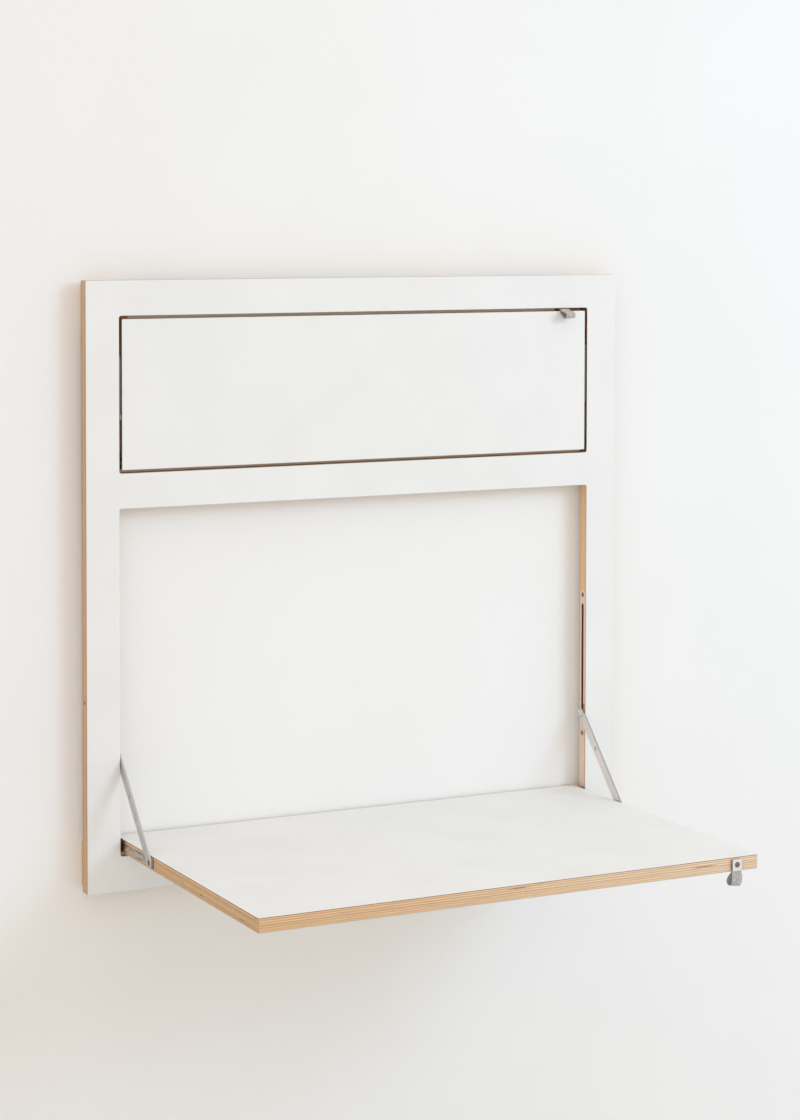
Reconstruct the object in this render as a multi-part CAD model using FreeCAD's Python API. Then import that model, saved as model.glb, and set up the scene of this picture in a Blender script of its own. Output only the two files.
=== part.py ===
"""Wall-hung fold-down desk: a plywood frame with a fold-down desk panel below and a fold-down flap above.

Axes: +X to the right seen from the room, +Y into the wall, +Z up.
Origin: on the wall plane, at the centre of the four keyhole entry holes that hang the frame.
All sizes are in millimetres. The desk panel is drawn open and the flap is drawn closed.
"""
import FreeCAD
import Part
import math
import os
from dataclasses import dataclass

# ---- overall sizes -------------------------------------------------------------------------
frame_width = 800.0
frame_height = 800.0
board_thickness = 18.0        # one sheet of plywood with a laminate skin on both faces
laminate_thickness = 0.8
stile_width = 46.0            # left and right members
rail_width = 46.0             # top, middle and bottom members
flap_opening_height = 205.5
wall_gap = 11.0               # room between the wall and the back of the frame

# ---- gaps round the folding panels ---------------------------------------------------------
side_gap = 4.0                # between a panel's side edge and the stile
swing_clearance = 0.77        # left between a panel's hinge corner and the member or wall as it swings
opening_corner_radius = 3.0
panel_corner_radius = 1.5
frame_corner_radius = 1.5

# ---- stays: a strut pinned to the panel, with a slider that runs in a slotted rail ---------
desk_crank = 106.0            # hinge axis to the strut's lower pivot
desk_strut_length = 157.0     # pivot to pivot
desk_slot_spare = 6.5         # slot left above the slider when the panel is closed
desk_screw_rise = 12.7        # top of the slot to the upper rail screw
desk_near_screw = 30.0        # hinge axis to the first side plate screw
flap_crank = 60.0
flap_strut_length = 76.0
flap_slot_spare = 2.0
flap_screw_rise = 10.0
flap_near_screw = 20.0
lower_screw_drop = 26.6       # bottom of the slot to the lower rail screw

strut_width = 14.0
strut_thickness = 2.0
strut_face_clearance = 0.5    # between the strut and the rail that it passes
dimple_share = 0.38           # place of the detent dimple, from the upper pivot to the lower
dimple_radius = 3.0
dimple_depth = 0.6

plate_thickness = 2.0         # rails and side plates, let flush into the plywood edges
plate_width = 12.0
rail_end_margin = 7.0         # last screw or pin to the end of a rail
plate_hinge_margin = 8.0      # hinge axis to the near end of a side plate
plate_pivot_margin = 4.0      # strut pivot to the far end of a side plate
plate_screw_far = 14.0        # strut pivot back to the last side plate screw
pad_near_margin = 21.0        # first side plate screw to the raised pad on the desk's plates
pad_far_margin = 11.0         # raised pad to the last side plate screw
pad_width = 6.0
pad_height = 0.8
pad_corner_radius = 1.0
recess_clearance = 0.1        # round a rail or plate in its recess

slot_width = 5.2
slider_clearance = 0.1        # slider stub to slot, all round
slider_flange_radius = 4.2
slider_flange_thickness = 2.4
channel_clearance = 0.3       # round the slider's flange in the channel behind the rail

# ---- pins, rivets and washers --------------------------------------------------------------
pin_radius = 3.0
pin_tail = 3.0                # pin reach past the side plate, into the panel
pin_head_radius = 4.5
pin_head_thickness = 1.5
running_clearance = 0.05      # radial, round a pin or rivet that something turns on
hinge_washer_radius = 5.8
washer_play = 0.1             # each side of a washer
rivet_radius = 2.5
rivet_foot_radius = 4.0
rivet_foot_thickness = 1.2
rivet_cone_radius = 3.8
rivet_cone_depth = 1.2
rivet_dome_radius = 5.0
rivet_dome_height = 0.8
pivot_washer_radius = 5.5
pocket_clearance = 0.3        # round a pin or foot in a blind hole in the plywood

# ---- screws --------------------------------------------------------------------------------
screw_head_radius = 3.6
screw_shank_radius = 1.75
screw_head_depth = 1.8
edge_screw_length = 18.0
cross_width = 0.9
cross_length = 3.6
cross_depth = 0.9

# ---- pull straps ---------------------------------------------------------------------------
strap_inset = 33.5            # middle of the strap to the panel's right side edge
strap_width = 16.0
strap_thickness = 2.0         # felt, loose
strap_loop_reach = 20.0       # loop past the panel's outer face
strap_bend_radius = 6.3       # outer radius of the loop's end
strap_tail = 15.2             # clamped part under the plate
strap_body_gap = 0.3          # loop to the panel's face
strap_front_lean = 0.4        # how far the outer strand leans out by the loop's end
strap_plate_width = 14.0
strap_plate_height = 14.8
strap_plate_thickness = 0.8
strap_plate_setback = 0.7     # plate's end towards the loop to the panel's outer face
strap_plate_radius = 1.0
strap_head_radius = 3.7
strap_head_height = 0.8
strap_head_clearance = 0.3    # screw head to the frame member that it passes when closed
strap_screw_offset = 0.2      # screw to the middle of the board, towards the loop
strap_screw_length = 18.0

# ---- wall hangers --------------------------------------------------------------------------
keyhole_inset_side = 23.0     # keyhole entry to the frame's outer side
keyhole_inset_end = 30.0      # keyhole entry to the frame's top or bottom edge
keyhole_entry_radius = 4.5
keyhole_slot_radius = 2.25
keyhole_rise = 9.0            # entry centre to the hung screw's centre
upper_block_width = 60.0
upper_block_edge = 5.0        # block to the frame's outer side
lower_block_width = 40.0
lower_block_edge = 3.0
block_height = 60.0
block_end_inset = 5.0         # block to the frame's top or bottom edge
block_corner_radius = 2.0
hanger_plate_width = 16.0
hanger_plate_height = 50.0
hanger_plate_thickness = 1.5
hanger_screw_margin = 6.0     # hanger plate screw to the plate's end
hanger_screw_length = 8.0
head_pocket_depth = 7.0       # room for the wall screw's head behind the hanger plate
head_pocket_clearance = 1.5
block_screw_offset = 14.0     # block screws, from the keyhole towards the middle of the frame
block_screw_margin = 8.0      # and from the block's top or bottom
block_screw_length = 22.0

# ---- derived places ------------------------------------------------------------------------
half_board = board_thickness / 2.0
back_y = -wall_gap
front_y = -wall_gap - board_thickness
hinge_y = front_y + half_board
bottom_z = -frame_height / 2.0
top_z = bottom_z + frame_height
half_opening = frame_width / 2.0 - stile_width
half_panel = half_opening - side_gap
end_gap = half_board * (math.sqrt(2.0) - 1.0) + swing_clearance
desk_heel = math.sqrt((half_board + wall_gap - swing_clearance) ** 2 - half_board ** 2)
desk_opening_height = frame_height - 3.0 * rail_width - flap_opening_height
strap_layer = (end_gap - strap_head_clearance - strap_head_height - strap_plate_thickness) / 2.0
strap_x = half_panel - strap_inset
strut_outer_x = half_opening - strut_face_clearance
strut_inner_x = strut_outer_x - strut_thickness
slider_radius = slot_width / 2.0 - slider_clearance
overcut = 5.0                 # how far a cutting tool runs past the face that it enters

X_AXIS = FreeCAD.Vector(1, 0, 0)
ORIGIN = FreeCAD.Vector(0, 0, 0)


@dataclass(frozen=True)
class Fold:
    """One folding panel: its opening, its stay and the angle it stands at, 0 closed and 90 open."""

    name: str
    opening_bottom: float
    opening_height: float
    heel: float
    crank: float
    strut_length: float
    slot_spare: float
    screw_rise: float
    near_screw: float
    padded: bool
    angle: float

    @property
    def opening_top(self):
        return self.opening_bottom + self.opening_height

    @property
    def hinge_z(self):
        return self.opening_bottom + end_gap + half_board

    @property
    def reach(self):
        """Hinge axis to the panel's free edge."""
        return self.opening_height - 2.0 * end_gap - half_board

    @property
    def has_heel(self):
        """Whether the inner half of the board runs on behind the hinge, in a rebate of the frame."""
        return self.heel > half_board

    def strut_lean(self, angle):
        """Lean of the strut from upright, in degrees, at a panel angle."""
        return math.degrees(math.asin(self.crank * math.sin(math.radians(angle)) / self.strut_length))

    def pivot(self, angle):
        """Strut pivot on the panel at a panel angle, as y and z."""
        turn = math.radians(angle)
        return hinge_y - self.crank * math.sin(turn), self.hinge_z + self.crank * math.cos(turn)

    def slider_z(self, angle):
        """Height of the slider at a panel angle."""
        lean = math.radians(self.strut_lean(angle))
        return self.pivot(angle)[1] + self.strut_length * math.cos(lean)

    @property
    def slot_bottom(self):
        """Centre of the slot's lower round end: the slider rests in it when the panel is open."""
        return self.slider_z(90.0) - slider_clearance

    @property
    def slot_top(self):
        """Centre of the slot's upper round end."""
        return self.slider_z(0.0) + self.slot_spare

    @property
    def rail_screw_heights(self):
        half_slot = slot_width / 2.0
        return (
            self.slot_bottom - half_slot - lower_screw_drop,
            self.slot_top + half_slot + self.screw_rise,
        )


desk = Fold(
    name="desk",
    opening_bottom=bottom_z + rail_width,
    opening_height=desk_opening_height,
    heel=desk_heel,
    crank=desk_crank,
    strut_length=desk_strut_length,
    slot_spare=desk_slot_spare,
    screw_rise=desk_screw_rise,
    near_screw=desk_near_screw,
    padded=True,
    angle=90.0,
)
flap = Fold(
    name="flap",
    opening_bottom=desk.opening_top + rail_width,
    opening_height=flap_opening_height,
    heel=half_board,
    crank=flap_crank,
    strut_length=flap_strut_length,
    slot_spare=flap_slot_spare,
    screw_rise=flap_screw_rise,
    near_screw=flap_near_screw,
    padded=False,
    angle=0.0,
)


# ---- shape helpers -------------------------------------------------------------------------
def vector(x, y, z):
    return FreeCAD.Vector(x, y, z)


def box(x_range, y_range, z_range):
    """Box between two values on each axis."""
    low = vector(x_range[0], y_range[0], z_range[0])
    size = [pair[1] - pair[0] for pair in (x_range, y_range, z_range)]
    return Part.makeBox(size[0], size[1], size[2], low)


def rounded_box(x_range, y_range, z_range, radius, along):
    """Box with the four edges that run along one axis rounded."""
    shape = box(x_range, y_range, z_range)
    edges = []
    for edge in shape.Edges:
        direction = edge.Vertexes[1].Point.sub(edge.Vertexes[0].Point).normalize()
        if abs(direction.dot(along)) > 0.5:
            edges.append(edge)
    return shape.makeFillet(radius, edges)


def cylinder_x(x_range, y, z, radius):
    """Cylinder along X."""
    return Part.makeCylinder(radius, x_range[1] - x_range[0], vector(x_range[0], y, z), X_AXIS)


def round_ended_bar(x_range, low_z, high_z, radius):
    """Flat bar along Z in the plane Y = 0, with its round ends centred on two heights."""
    x = x_range[0]
    low_left = vector(x, -radius, low_z)
    low_right = vector(x, radius, low_z)
    high_left = vector(x, -radius, high_z)
    high_right = vector(x, radius, high_z)
    outline = Part.Wire([
        Part.Arc(low_left, vector(x, 0, low_z - radius), low_right).toShape(),
        Part.LineSegment(low_right, high_right).toShape(),
        Part.Arc(high_right, vector(x, 0, high_z + radius), high_left).toShape(),
        Part.LineSegment(high_left, low_left).toShape(),
    ])
    return Part.Face(outline).extrude(vector(x_range[1] - x_range[0], 0, 0))


def dome(radius, height):
    """Low dome on the plane X = 0, rising along +X."""
    sphere_radius = (radius ** 2 + height ** 2) / (2.0 * height)
    half_turn = math.asin(radius / sphere_radius) / 2.0
    halfway = vector(height - sphere_radius + sphere_radius * math.cos(half_turn),
                     sphere_radius * math.sin(half_turn), 0)
    profile = Part.Wire([
        Part.LineSegment(ORIGIN, vector(0, radius, 0)).toShape(),
        Part.Arc(vector(0, radius, 0), halfway, vector(height, 0, 0)).toShape(),
        Part.LineSegment(vector(height, 0, 0), ORIGIN).toShape(),
    ])
    return Part.Face(profile).revolve(ORIGIN, X_AXIS, 360)


def moved(shape, x=0.0, y=0.0, z=0.0):
    copy = shape.copy()
    copy.translate(vector(x, y, z))
    return copy


def turned(shape, angle, axis=X_AXIS):
    """Copy turned about an axis through the origin."""
    copy = shape.copy()
    copy.rotate(ORIGIN, axis, angle)
    return copy


def mirrored(shape):
    """The same piece on the left side."""
    return shape.mirror(ORIGIN, X_AXIS)


def both_sides(shape):
    """The piece and its mirror image, as separate solids."""
    return [shape, mirrored(shape)]


def cut_all(shape, tools):
    for tool in tools:
        shape = shape.cut(tool)
    return shape


def cut_cross(screw, top):
    """Cuts the driver's cross into a screw head whose top is at X = top."""
    half_length = cross_length / 2.0
    half_width = cross_width / 2.0
    depth = (top - cross_depth, top + overcut)
    screw = screw.cut(box(depth, (-half_length, half_length), (-half_width, half_width)))
    return screw.cut(box(depth, (-half_width, half_width), (-half_length, half_length)))


def countersunk_screw(length, recess=True):
    """Flat-headed screw along -X with its head flush with the plane X = 0."""
    head = Part.makeCone(screw_shank_radius, screw_head_radius, screw_head_depth,
                         vector(-screw_head_depth, 0, 0), X_AXIS)
    shank = cylinder_x((-length, -screw_head_depth), 0, 0, screw_shank_radius)
    screw = head.fuse(shank)
    return cut_cross(screw, 0.0) if recess else screw


def screw_facing(x, y, z, turn, axis, length, recess=True):
    """Countersunk screw turned from facing +X and put in place."""
    return moved(turned(countersunk_screw(length, recess), turn, axis), x, y, z)


# ---- pieces in the stile edge: slotted rail, its screws, hinge pin, slider -------------------
def rail_outline(fold, clearance, depth):
    """Outline of the slotted rail, in the right-hand stile's edge."""
    low = fold.hinge_z - plate_hinge_margin + plate_width / 2.0
    high = fold.rail_screw_heights[1] + rail_end_margin - plate_width / 2.0
    bar = round_ended_bar((half_opening - clearance, half_opening + depth), low, high,
                          plate_width / 2.0 + clearance)
    return moved(bar, y=hinge_y)


def rail_screw(fold, height, recess=True):
    """Screw through the rail into the right-hand stile."""
    return screw_facing(half_opening, hinge_y, height, 180.0, vector(0, 0, 1), edge_screw_length, recess)


def rail_screws(fold):
    screws = []
    for height in fold.rail_screw_heights:
        screws += both_sides(rail_screw(fold, height))
    return screws


def hinge_pin(fold):
    """Pin riveted into the rail, reaching through the washer into the panel."""
    tip = half_panel - plate_thickness - pin_tail
    back = half_opening + plate_thickness
    pin = cylinder_x((tip, back), hinge_y, fold.hinge_z, pin_radius)
    head = cylinder_x((back, back + pin_head_thickness), hinge_y, fold.hinge_z, pin_head_radius)
    return pin.fuse(head).removeSplitter()


def slotted_rail(fold):
    """Steel rail let into the right-hand stile: slot, screw holes and hinge pin hole."""
    rail = rail_outline(fold, 0.0, plate_thickness)
    through = (half_opening - overcut, half_opening + overcut)
    slot = round_ended_bar(through, fold.slot_bottom, fold.slot_top, slot_width / 2.0)
    tools = [moved(slot, y=hinge_y), cylinder_x(through, hinge_y, fold.hinge_z, pin_radius)]
    for height in fold.rail_screw_heights:
        tools.append(rail_screw(fold, height, recess=False))
    return cut_all(rail, tools)


def slider(fold):
    """Slider with a stub in the slot and a wider flange behind the rail."""
    height = fold.slider_z(fold.angle)
    back = half_opening + plate_thickness + slider_clearance
    stub = cylinder_x((half_opening, back), hinge_y, height, slider_radius)
    flange = cylinder_x((back, back + slider_flange_thickness), hinge_y, height, slider_flange_radius)
    return stub.fuse(flange).removeSplitter()


def hinge_washer(fold):
    """Washer on the hinge pin, between the rail and the side plate."""
    span = (half_panel + washer_play, half_opening - washer_play)
    ring = cylinder_x(span, hinge_y, fold.hinge_z, hinge_washer_radius)
    return ring.cut(cylinder_x(span, hinge_y, fold.hinge_z, pin_radius + running_clearance))


def stile_recess(fold):
    """What is milled out of the right-hand stile's edge for one fold's fittings."""
    channel_depth = plate_thickness + slider_clearance + slider_flange_thickness + channel_clearance
    channel = round_ended_bar((half_opening, half_opening + channel_depth), fold.slot_bottom,
                              fold.slot_top, slider_flange_radius + channel_clearance)
    pocket_end = half_opening + plate_thickness + pin_head_thickness + pocket_clearance
    tools = [rail_outline(fold, recess_clearance, plate_thickness), moved(channel, y=hinge_y)]
    tools.append(cylinder_x((half_opening, pocket_end), hinge_y, fold.hinge_z,
                            pin_head_radius + pocket_clearance))
    for height in fold.rail_screw_heights:
        tools.append(rail_screw(fold, height, recess=False))
    return tools


# ---- frame ---------------------------------------------------------------------------------
def frame_sheet(near_y, far_y):
    """A layer of the frame between two depths, with both openings cut."""
    half_width = frame_width / 2.0
    y_axis = vector(0, 1, 0)
    sheet = rounded_box((-half_width, half_width), (near_y, far_y), (bottom_z, top_z),
                        frame_corner_radius, y_axis)
    for fold in (desk, flap):
        opening = rounded_box((-half_opening, half_opening), (near_y - overcut, far_y + overcut),
                              (fold.opening_bottom, fold.opening_top), opening_corner_radius, y_axis)
        sheet = sheet.cut(opening)
        if fold.has_heel and far_y > hinge_y:
            floor = fold.hinge_z - fold.heel - swing_clearance
            sheet = sheet.cut(box((-half_opening, half_opening), (hinge_y - swing_clearance, far_y + overcut),
                                  (floor, fold.opening_bottom + opening_corner_radius)))
    return sheet


def frame_core():
    core = frame_sheet(front_y + laminate_thickness, back_y - laminate_thickness)
    for fold in (desk, flap):
        for tool in stile_recess(fold):
            core = cut_all(core, both_sides(tool))
    return cut_all(core, block_screws(recess=False))


def frame_back_laminate():
    return cut_all(frame_sheet(back_y - laminate_thickness, back_y), block_screws(recess=False))


# ---- wall hangers --------------------------------------------------------------------------
def keyhole_places():
    """Keyhole entry centres on the right-hand side, upper then lower, as x, z."""
    x = frame_width / 2.0 - keyhole_inset_side
    return [(x, top_z - keyhole_inset_end), (x, bottom_z + keyhole_inset_end)]


def block_ranges(upper):
    """X and Z ranges of a right-hand hanger block."""
    edge = upper_block_edge if upper else lower_block_edge
    width = upper_block_width if upper else lower_block_width
    outer = frame_width / 2.0 - edge
    low = top_z - block_end_inset - block_height if upper else bottom_z + block_end_inset
    return (outer - width, outer), (low, low + block_height)


def hanger_plate_ranges(place):
    """X and Z ranges of the hanger plate round a keyhole."""
    x, z = place
    middle = z + keyhole_rise / 2.0
    half_width = hanger_plate_width / 2.0
    half_height = hanger_plate_height / 2.0
    return (x - half_width, x + half_width), (middle - half_height, middle + half_height)


def hanger_plate_screw_places(place):
    x_range, z_range = hanger_plate_ranges(place)
    return [(place[0], z_range[0] + hanger_screw_margin), (place[0], z_range[1] - hanger_screw_margin)]


def wall_facing_screw(x, z, y, length, recess=True):
    """Screw whose head faces the wall, in a face at depth y."""
    return screw_facing(x, y, z, 90.0, vector(0, 0, 1), length, recess)


def hanger_plate_screws(recess=True):
    screws = []
    for place in keyhole_places():
        for x, z in hanger_plate_screw_places(place):
            screws += both_sides(wall_facing_screw(x, z, 0.0, hanger_screw_length, recess))
    return screws


def block_screws(recess=True):
    """Screws through the hanger blocks into the frame, beside the hanger plates."""
    screws = []
    x = frame_width / 2.0 - keyhole_inset_side - block_screw_offset
    for upper in (True, False):
        z_range = block_ranges(upper)[1]
        for z in (z_range[0] + block_screw_margin, z_range[1] - block_screw_margin):
            screws += both_sides(wall_facing_screw(x, z, 0.0, block_screw_length, recess))
    return screws


def keyhole(place, y_range, growth=0.0):
    """Keyhole outline through a range of depths, grown all round."""
    x, z = place
    depth = y_range[1] - y_range[0]
    y_axis = vector(0, 1, 0)
    entry = Part.makeCylinder(keyhole_entry_radius + growth, depth, vector(x, y_range[0], z), y_axis)
    slot_radius = keyhole_slot_radius + growth
    slot_end = Part.makeCylinder(slot_radius, depth, vector(x, y_range[0], z + keyhole_rise), y_axis)
    slot = box((x - slot_radius, x + slot_radius), y_range, (z, z + keyhole_rise))
    return entry.fuse([slot_end, slot])


def hanger_plate(place):
    """Steel keyhole plate, flush with the wall face of its block."""
    x_range, z_range = hanger_plate_ranges(place)
    plate = box(x_range, (-hanger_plate_thickness, 0.0), z_range)
    plate = plate.cut(keyhole(place, (-hanger_plate_thickness - overcut, overcut)))
    tools = [wall_facing_screw(x, z, 0.0, hanger_screw_length, recess=False)
             for x, z in hanger_plate_screw_places(place)]
    return cut_all(plate, tools)


def hanger_block(upper):
    """Plywood block that stands the frame off the wall, milled for its keyhole plate."""
    x_range, z_range = block_ranges(upper)
    place = keyhole_places()[0 if upper else 1]
    block = rounded_box(x_range, (back_y, 0.0), z_range, block_corner_radius, vector(0, 1, 0))
    plate_x, plate_z = hanger_plate_ranges(place)
    block = block.cut(box(plate_x, (-hanger_plate_thickness, overcut), plate_z))
    pocket = keyhole(place, (-hanger_plate_thickness - head_pocket_depth, 0.0),
                     head_pocket_clearance + keyhole_entry_radius - keyhole_slot_radius)
    return cut_all(block, [pocket] + hanger_plate_screws(recess=False) + block_screws(recess=False))


# ---- folding panels, built about the hinge axis ------------------------------------------------
# Local axes of a panel: X as the frame's, Y from the hinge axis to the free edge, Z out of the outer
# face. The outer face is the front of a closed panel and the underside of an open one.
def put_on_hinge(fold, shape):
    """Turns a shape from the panel's local axes to where the panel stands."""
    return moved(turned(shape, 90.0 + fold.angle), y=hinge_y, z=fold.hinge_z)


def panel_layer(fold, low_z, high_z):
    """A layer of the board between two local heights."""
    layer = rounded_box((-half_panel, half_panel), (-fold.heel, fold.reach), (low_z, high_z),
                        panel_corner_radius, vector(0, 0, 1))
    if fold.has_heel:
        layer = layer.cut(box((-half_panel - overcut, half_panel + overcut),
                              (-fold.heel - overcut, -half_board), (0.0, half_board + overcut)))
    return layer


def side_plate_outline(fold, clearance, depth):
    """Outline of the right-hand side plate, let into the panel's side edge."""
    low = plate_width / 2.0 - plate_hinge_margin
    high = fold.crank + plate_pivot_margin - plate_width / 2.0
    bar = round_ended_bar((half_panel - depth, half_panel + clearance), low, high,
                          plate_width / 2.0 + clearance)
    return turned(bar, -90.0)


def plate_screw_distances(fold):
    """Side plate screws, as distances from the hinge axis."""
    return fold.near_screw, fold.crank - plate_screw_far


def side_plate_screw(distance, recess=True):
    return moved(countersunk_screw(edge_screw_length, recess), half_panel, distance, 0.0)


def side_plate_screws(fold):
    screws = []
    for distance in plate_screw_distances(fold):
        screws += both_sides(side_plate_screw(distance))
    return screws


def side_plate(fold):
    """Steel plate in the panel's side edge: bearing hole, rivet hole, screw holes and a raised pad."""
    plate = side_plate_outline(fold, 0.0, plate_thickness)
    through = (half_panel - overcut, half_panel + overcut)
    tools = [cylinder_x(through, 0.0, 0.0, pin_radius + running_clearance)]
    tools.append(cylinder_x(through, fold.crank, 0.0, rivet_radius))
    for distance in plate_screw_distances(fold):
        tools.append(side_plate_screw(distance, recess=False))
    plate = cut_all(plate, tools)
    if fold.padded:
        near, far = plate_screw_distances(fold)
        half_pad = pad_width / 2.0
        pad = rounded_box((half_panel - plate_thickness / 2.0, half_panel + pad_height),
                          (near + pad_near_margin, far - pad_far_margin), (-half_pad, half_pad),
                          pad_corner_radius, X_AXIS)
        plate = plate.fuse(pad).removeSplitter()
    return plate


def pivot_rivet(fold):
    """Rivet that carries the strut: a foot behind the side plate and a sunk head in the strut."""
    plate_back = half_panel - plate_thickness
    foot = cylinder_x((plate_back - rivet_foot_thickness, plate_back), fold.crank, 0.0, rivet_foot_radius)
    cone_start = strut_outer_x - rivet_cone_depth
    shank = cylinder_x((plate_back, cone_start), fold.crank, 0.0, rivet_radius)
    cone = Part.makeCone(rivet_radius, rivet_cone_radius, rivet_cone_depth,
                         vector(cone_start, fold.crank, 0.0), X_AXIS)
    return foot.fuse([shank, cone]).removeSplitter()


def pivot_washer(fold):
    span = (half_panel + washer_play, strut_inner_x - washer_play)
    ring = cylinder_x(span, fold.crank, 0.0, pivot_washer_radius)
    return ring.cut(cylinder_x(span, fold.crank, 0.0, rivet_radius + running_clearance))


def panel_recess(fold):
    """What is milled out of the panel's right-hand side edge."""
    plate_back = half_panel - plate_thickness
    pin_end = plate_back - pin_tail - pocket_clearance
    foot_end = plate_back - rivet_foot_thickness - pocket_clearance
    tools = [side_plate_outline(fold, recess_clearance, plate_thickness)]
    tools.append(cylinder_x((pin_end, half_panel), 0.0, 0.0, pin_radius + pocket_clearance))
    tools.append(cylinder_x((foot_end, half_panel), fold.crank, 0.0, rivet_foot_radius + pocket_clearance))
    for distance in plate_screw_distances(fold):
        tools.append(side_plate_screw(distance, recess=False))
    return tools


def panel_core(fold):
    core = panel_layer(fold, laminate_thickness - half_board, half_board - laminate_thickness)
    for tool in panel_recess(fold):
        core = cut_all(core, both_sides(tool))
    return core.cut(strap_screw(fold, recess=False))


# ---- pull strap, in the panel's local axes ---------------------------------------------------
def strap_face(fold):
    """Free surface of the clamped felt, as a distance from the hinge axis."""
    return fold.reach + 2.0 * strap_layer


def strap_ring(fold, inset):
    """Teardrop of the loop in the local YZ plane, drawn in from its outer line by an inset."""
    root = half_board + strap_body_gap
    end_z = half_board + strap_loop_reach - strap_bend_radius
    radius = strap_bend_radius - inset
    front_y_end = strap_face(fold) + strap_front_lean
    middle_y = front_y_end - strap_bend_radius
    rear_slope = (middle_y - strap_bend_radius - fold.reach) / (end_z - root)
    rear_inset = inset * math.hypot(1.0, rear_slope)
    front = vector(0, middle_y + radius, end_z)
    rear = vector(0, middle_y - strap_bend_radius + rear_inset, end_z)
    # the two strands meet where the inset lines cross, or at the clamp for the outer line
    if inset > 0.0:
        tip_drop = (front.y - rear.y) / abs(rear_slope)
        tips = [vector(0, front.y, end_z - tip_drop)]
    else:
        tips = [vector(0, fold.reach, root), vector(0, strap_face(fold), root)]
    arc_middle = vector(0, (front.y + rear.y) / 2.0, end_z + radius)
    edges = [Part.Arc(front, arc_middle, rear).toShape()]
    corners = [rear] + tips + [front]
    for start, end in zip(corners, corners[1:]):
        edges.append(Part.LineSegment(start, end).toShape())
    return Part.Face(Part.Wire(edges))


def pull_strap(fold):
    """Felt strap: two layers clamped on the panel's edge and a loop past its outer face."""
    half_width = strap_width / 2.0
    along = vector(strap_width, 0, 0)
    loop = strap_ring(fold, 0.0).extrude(along).cut(strap_ring(fold, strap_thickness).extrude(along))
    loop = moved(loop, x=-half_width)
    clamped = box((-half_width, half_width), (fold.reach, strap_face(fold)),
                  (half_board - strap_tail, half_board + strap_body_gap))
    strap = moved(loop.fuse(clamped).removeSplitter(), x=strap_x)
    return strap.cut(strap_screw(fold, recess=False))


def strap_plate(fold):
    """Plate that clamps the strap to the panel's edge."""
    half_width = strap_plate_width / 2.0
    high = half_board - strap_plate_setback
    face = strap_face(fold)
    plate = rounded_box((strap_x - half_width, strap_x + half_width), (face, face + strap_plate_thickness),
                        (high - strap_plate_height, high), strap_plate_radius, vector(0, 1, 0))
    return plate.cut(strap_screw(fold, recess=False))


def strap_screw(fold, recess=True):
    """Low domed screw through plate and felt into the board's edge."""
    head = dome(strap_head_radius, strap_head_height)
    screw = head.fuse(cylinder_x((-strap_screw_length, 0.0), 0, 0, screw_shank_radius))
    if recess:
        screw = cut_cross(screw, strap_head_height)
    face = strap_face(fold) + strap_plate_thickness
    return moved(turned(screw, 90.0, vector(0, 0, 1)), strap_x, face, strap_screw_offset)


# ---- struts ----------------------------------------------------------------------------------
def put_on_pivot(fold, shape):
    """Moves a shape from upright at the origin to the strut's place and lean."""
    y, z = fold.pivot(fold.angle)
    return moved(turned(shape, -fold.strut_lean(fold.angle)), y=y, z=z)


def strut(fold):
    """Flat steel strut with round ends, upright with its lower pivot at Y = Z = 0."""
    bar = round_ended_bar((strut_inner_x, strut_outer_x), 0.0, fold.strut_length, strut_width / 2.0)
    cone_start = strut_outer_x - rivet_cone_depth - running_clearance
    cone = Part.makeCone(rivet_radius + running_clearance, rivet_cone_radius + running_clearance,
                         rivet_cone_depth, vector(cone_start, 0, 0), X_AXIS)
    lip = cylinder_x((cone_start + rivet_cone_depth, strut_outer_x + overcut), 0, 0,
                     rivet_cone_radius + running_clearance)
    through = (strut_inner_x - overcut, strut_outer_x + overcut)
    bore = cylinder_x(through, 0, 0, rivet_radius + running_clearance)
    upper_hole = cylinder_x(through, 0, fold.strut_length, rivet_radius)
    dimple_z = fold.strut_length * (1.0 - dimple_share)
    dimple = Part.makeCone(dimple_radius, dimple_radius - dimple_depth, dimple_depth,
                           vector(strut_inner_x, 0, dimple_z), X_AXIS)
    return cut_all(bar, [cone, lip, bore, upper_hole, dimple])


def strut_rivet(fold):
    """Rivet at the strut's upper end, with a low dome towards the panel."""
    shank = cylinder_x((strut_inner_x, strut_outer_x), 0, fold.strut_length, rivet_radius)
    head = turned(dome(rivet_dome_radius, rivet_dome_height), 180.0, vector(0, 0, 1))
    return moved(head, x=strut_inner_x, z=fold.strut_length).fuse(shank)


# ---- export ----------------------------------------------------------------------------------
def export(name, shapes):
    """Writes one node: a single shape, or a group of separate solids."""
    if not isinstance(shapes, list):
        shapes = [shapes]
    solids = [solid for shape in shapes for solid in shape.Solids]
    for solid in solids:
        if not solid.isValid() or solid.Volume <= 0.0:
            raise ValueError(name + " has a faulty solid")
    whole = solids[0] if len(solids) == 1 else Part.makeCompound(solids)
    whole.exportStep(os.path.join("parts", name + ".step"))
    print(f"{name}: {len(solids)} solid(s), {sum(solid.Volume for solid in solids) / 1000.0:.3f} cm3")


def export_pair(name, shape):
    """Writes the right-hand piece and its left-hand mirror image as two nodes."""
    export(name + "_right", shape)
    export(name + "_left", mirrored(shape))


def export_frame():
    export("frame_core", frame_core())
    export("frame_front_laminate", frame_sheet(front_y, front_y + laminate_thickness))
    export("frame_back_laminate", frame_back_laminate())
    export("upper_hanger_blocks", both_sides(hanger_block(upper=True)))
    export("lower_hanger_blocks", both_sides(hanger_block(upper=False)))
    plates = []
    for place in keyhole_places():
        plates += both_sides(hanger_plate(place))
    export("hanger_plates", plates)
    export("hanger_plate_screws", hanger_plate_screws())
    export("hanger_block_screws", block_screws())


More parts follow.
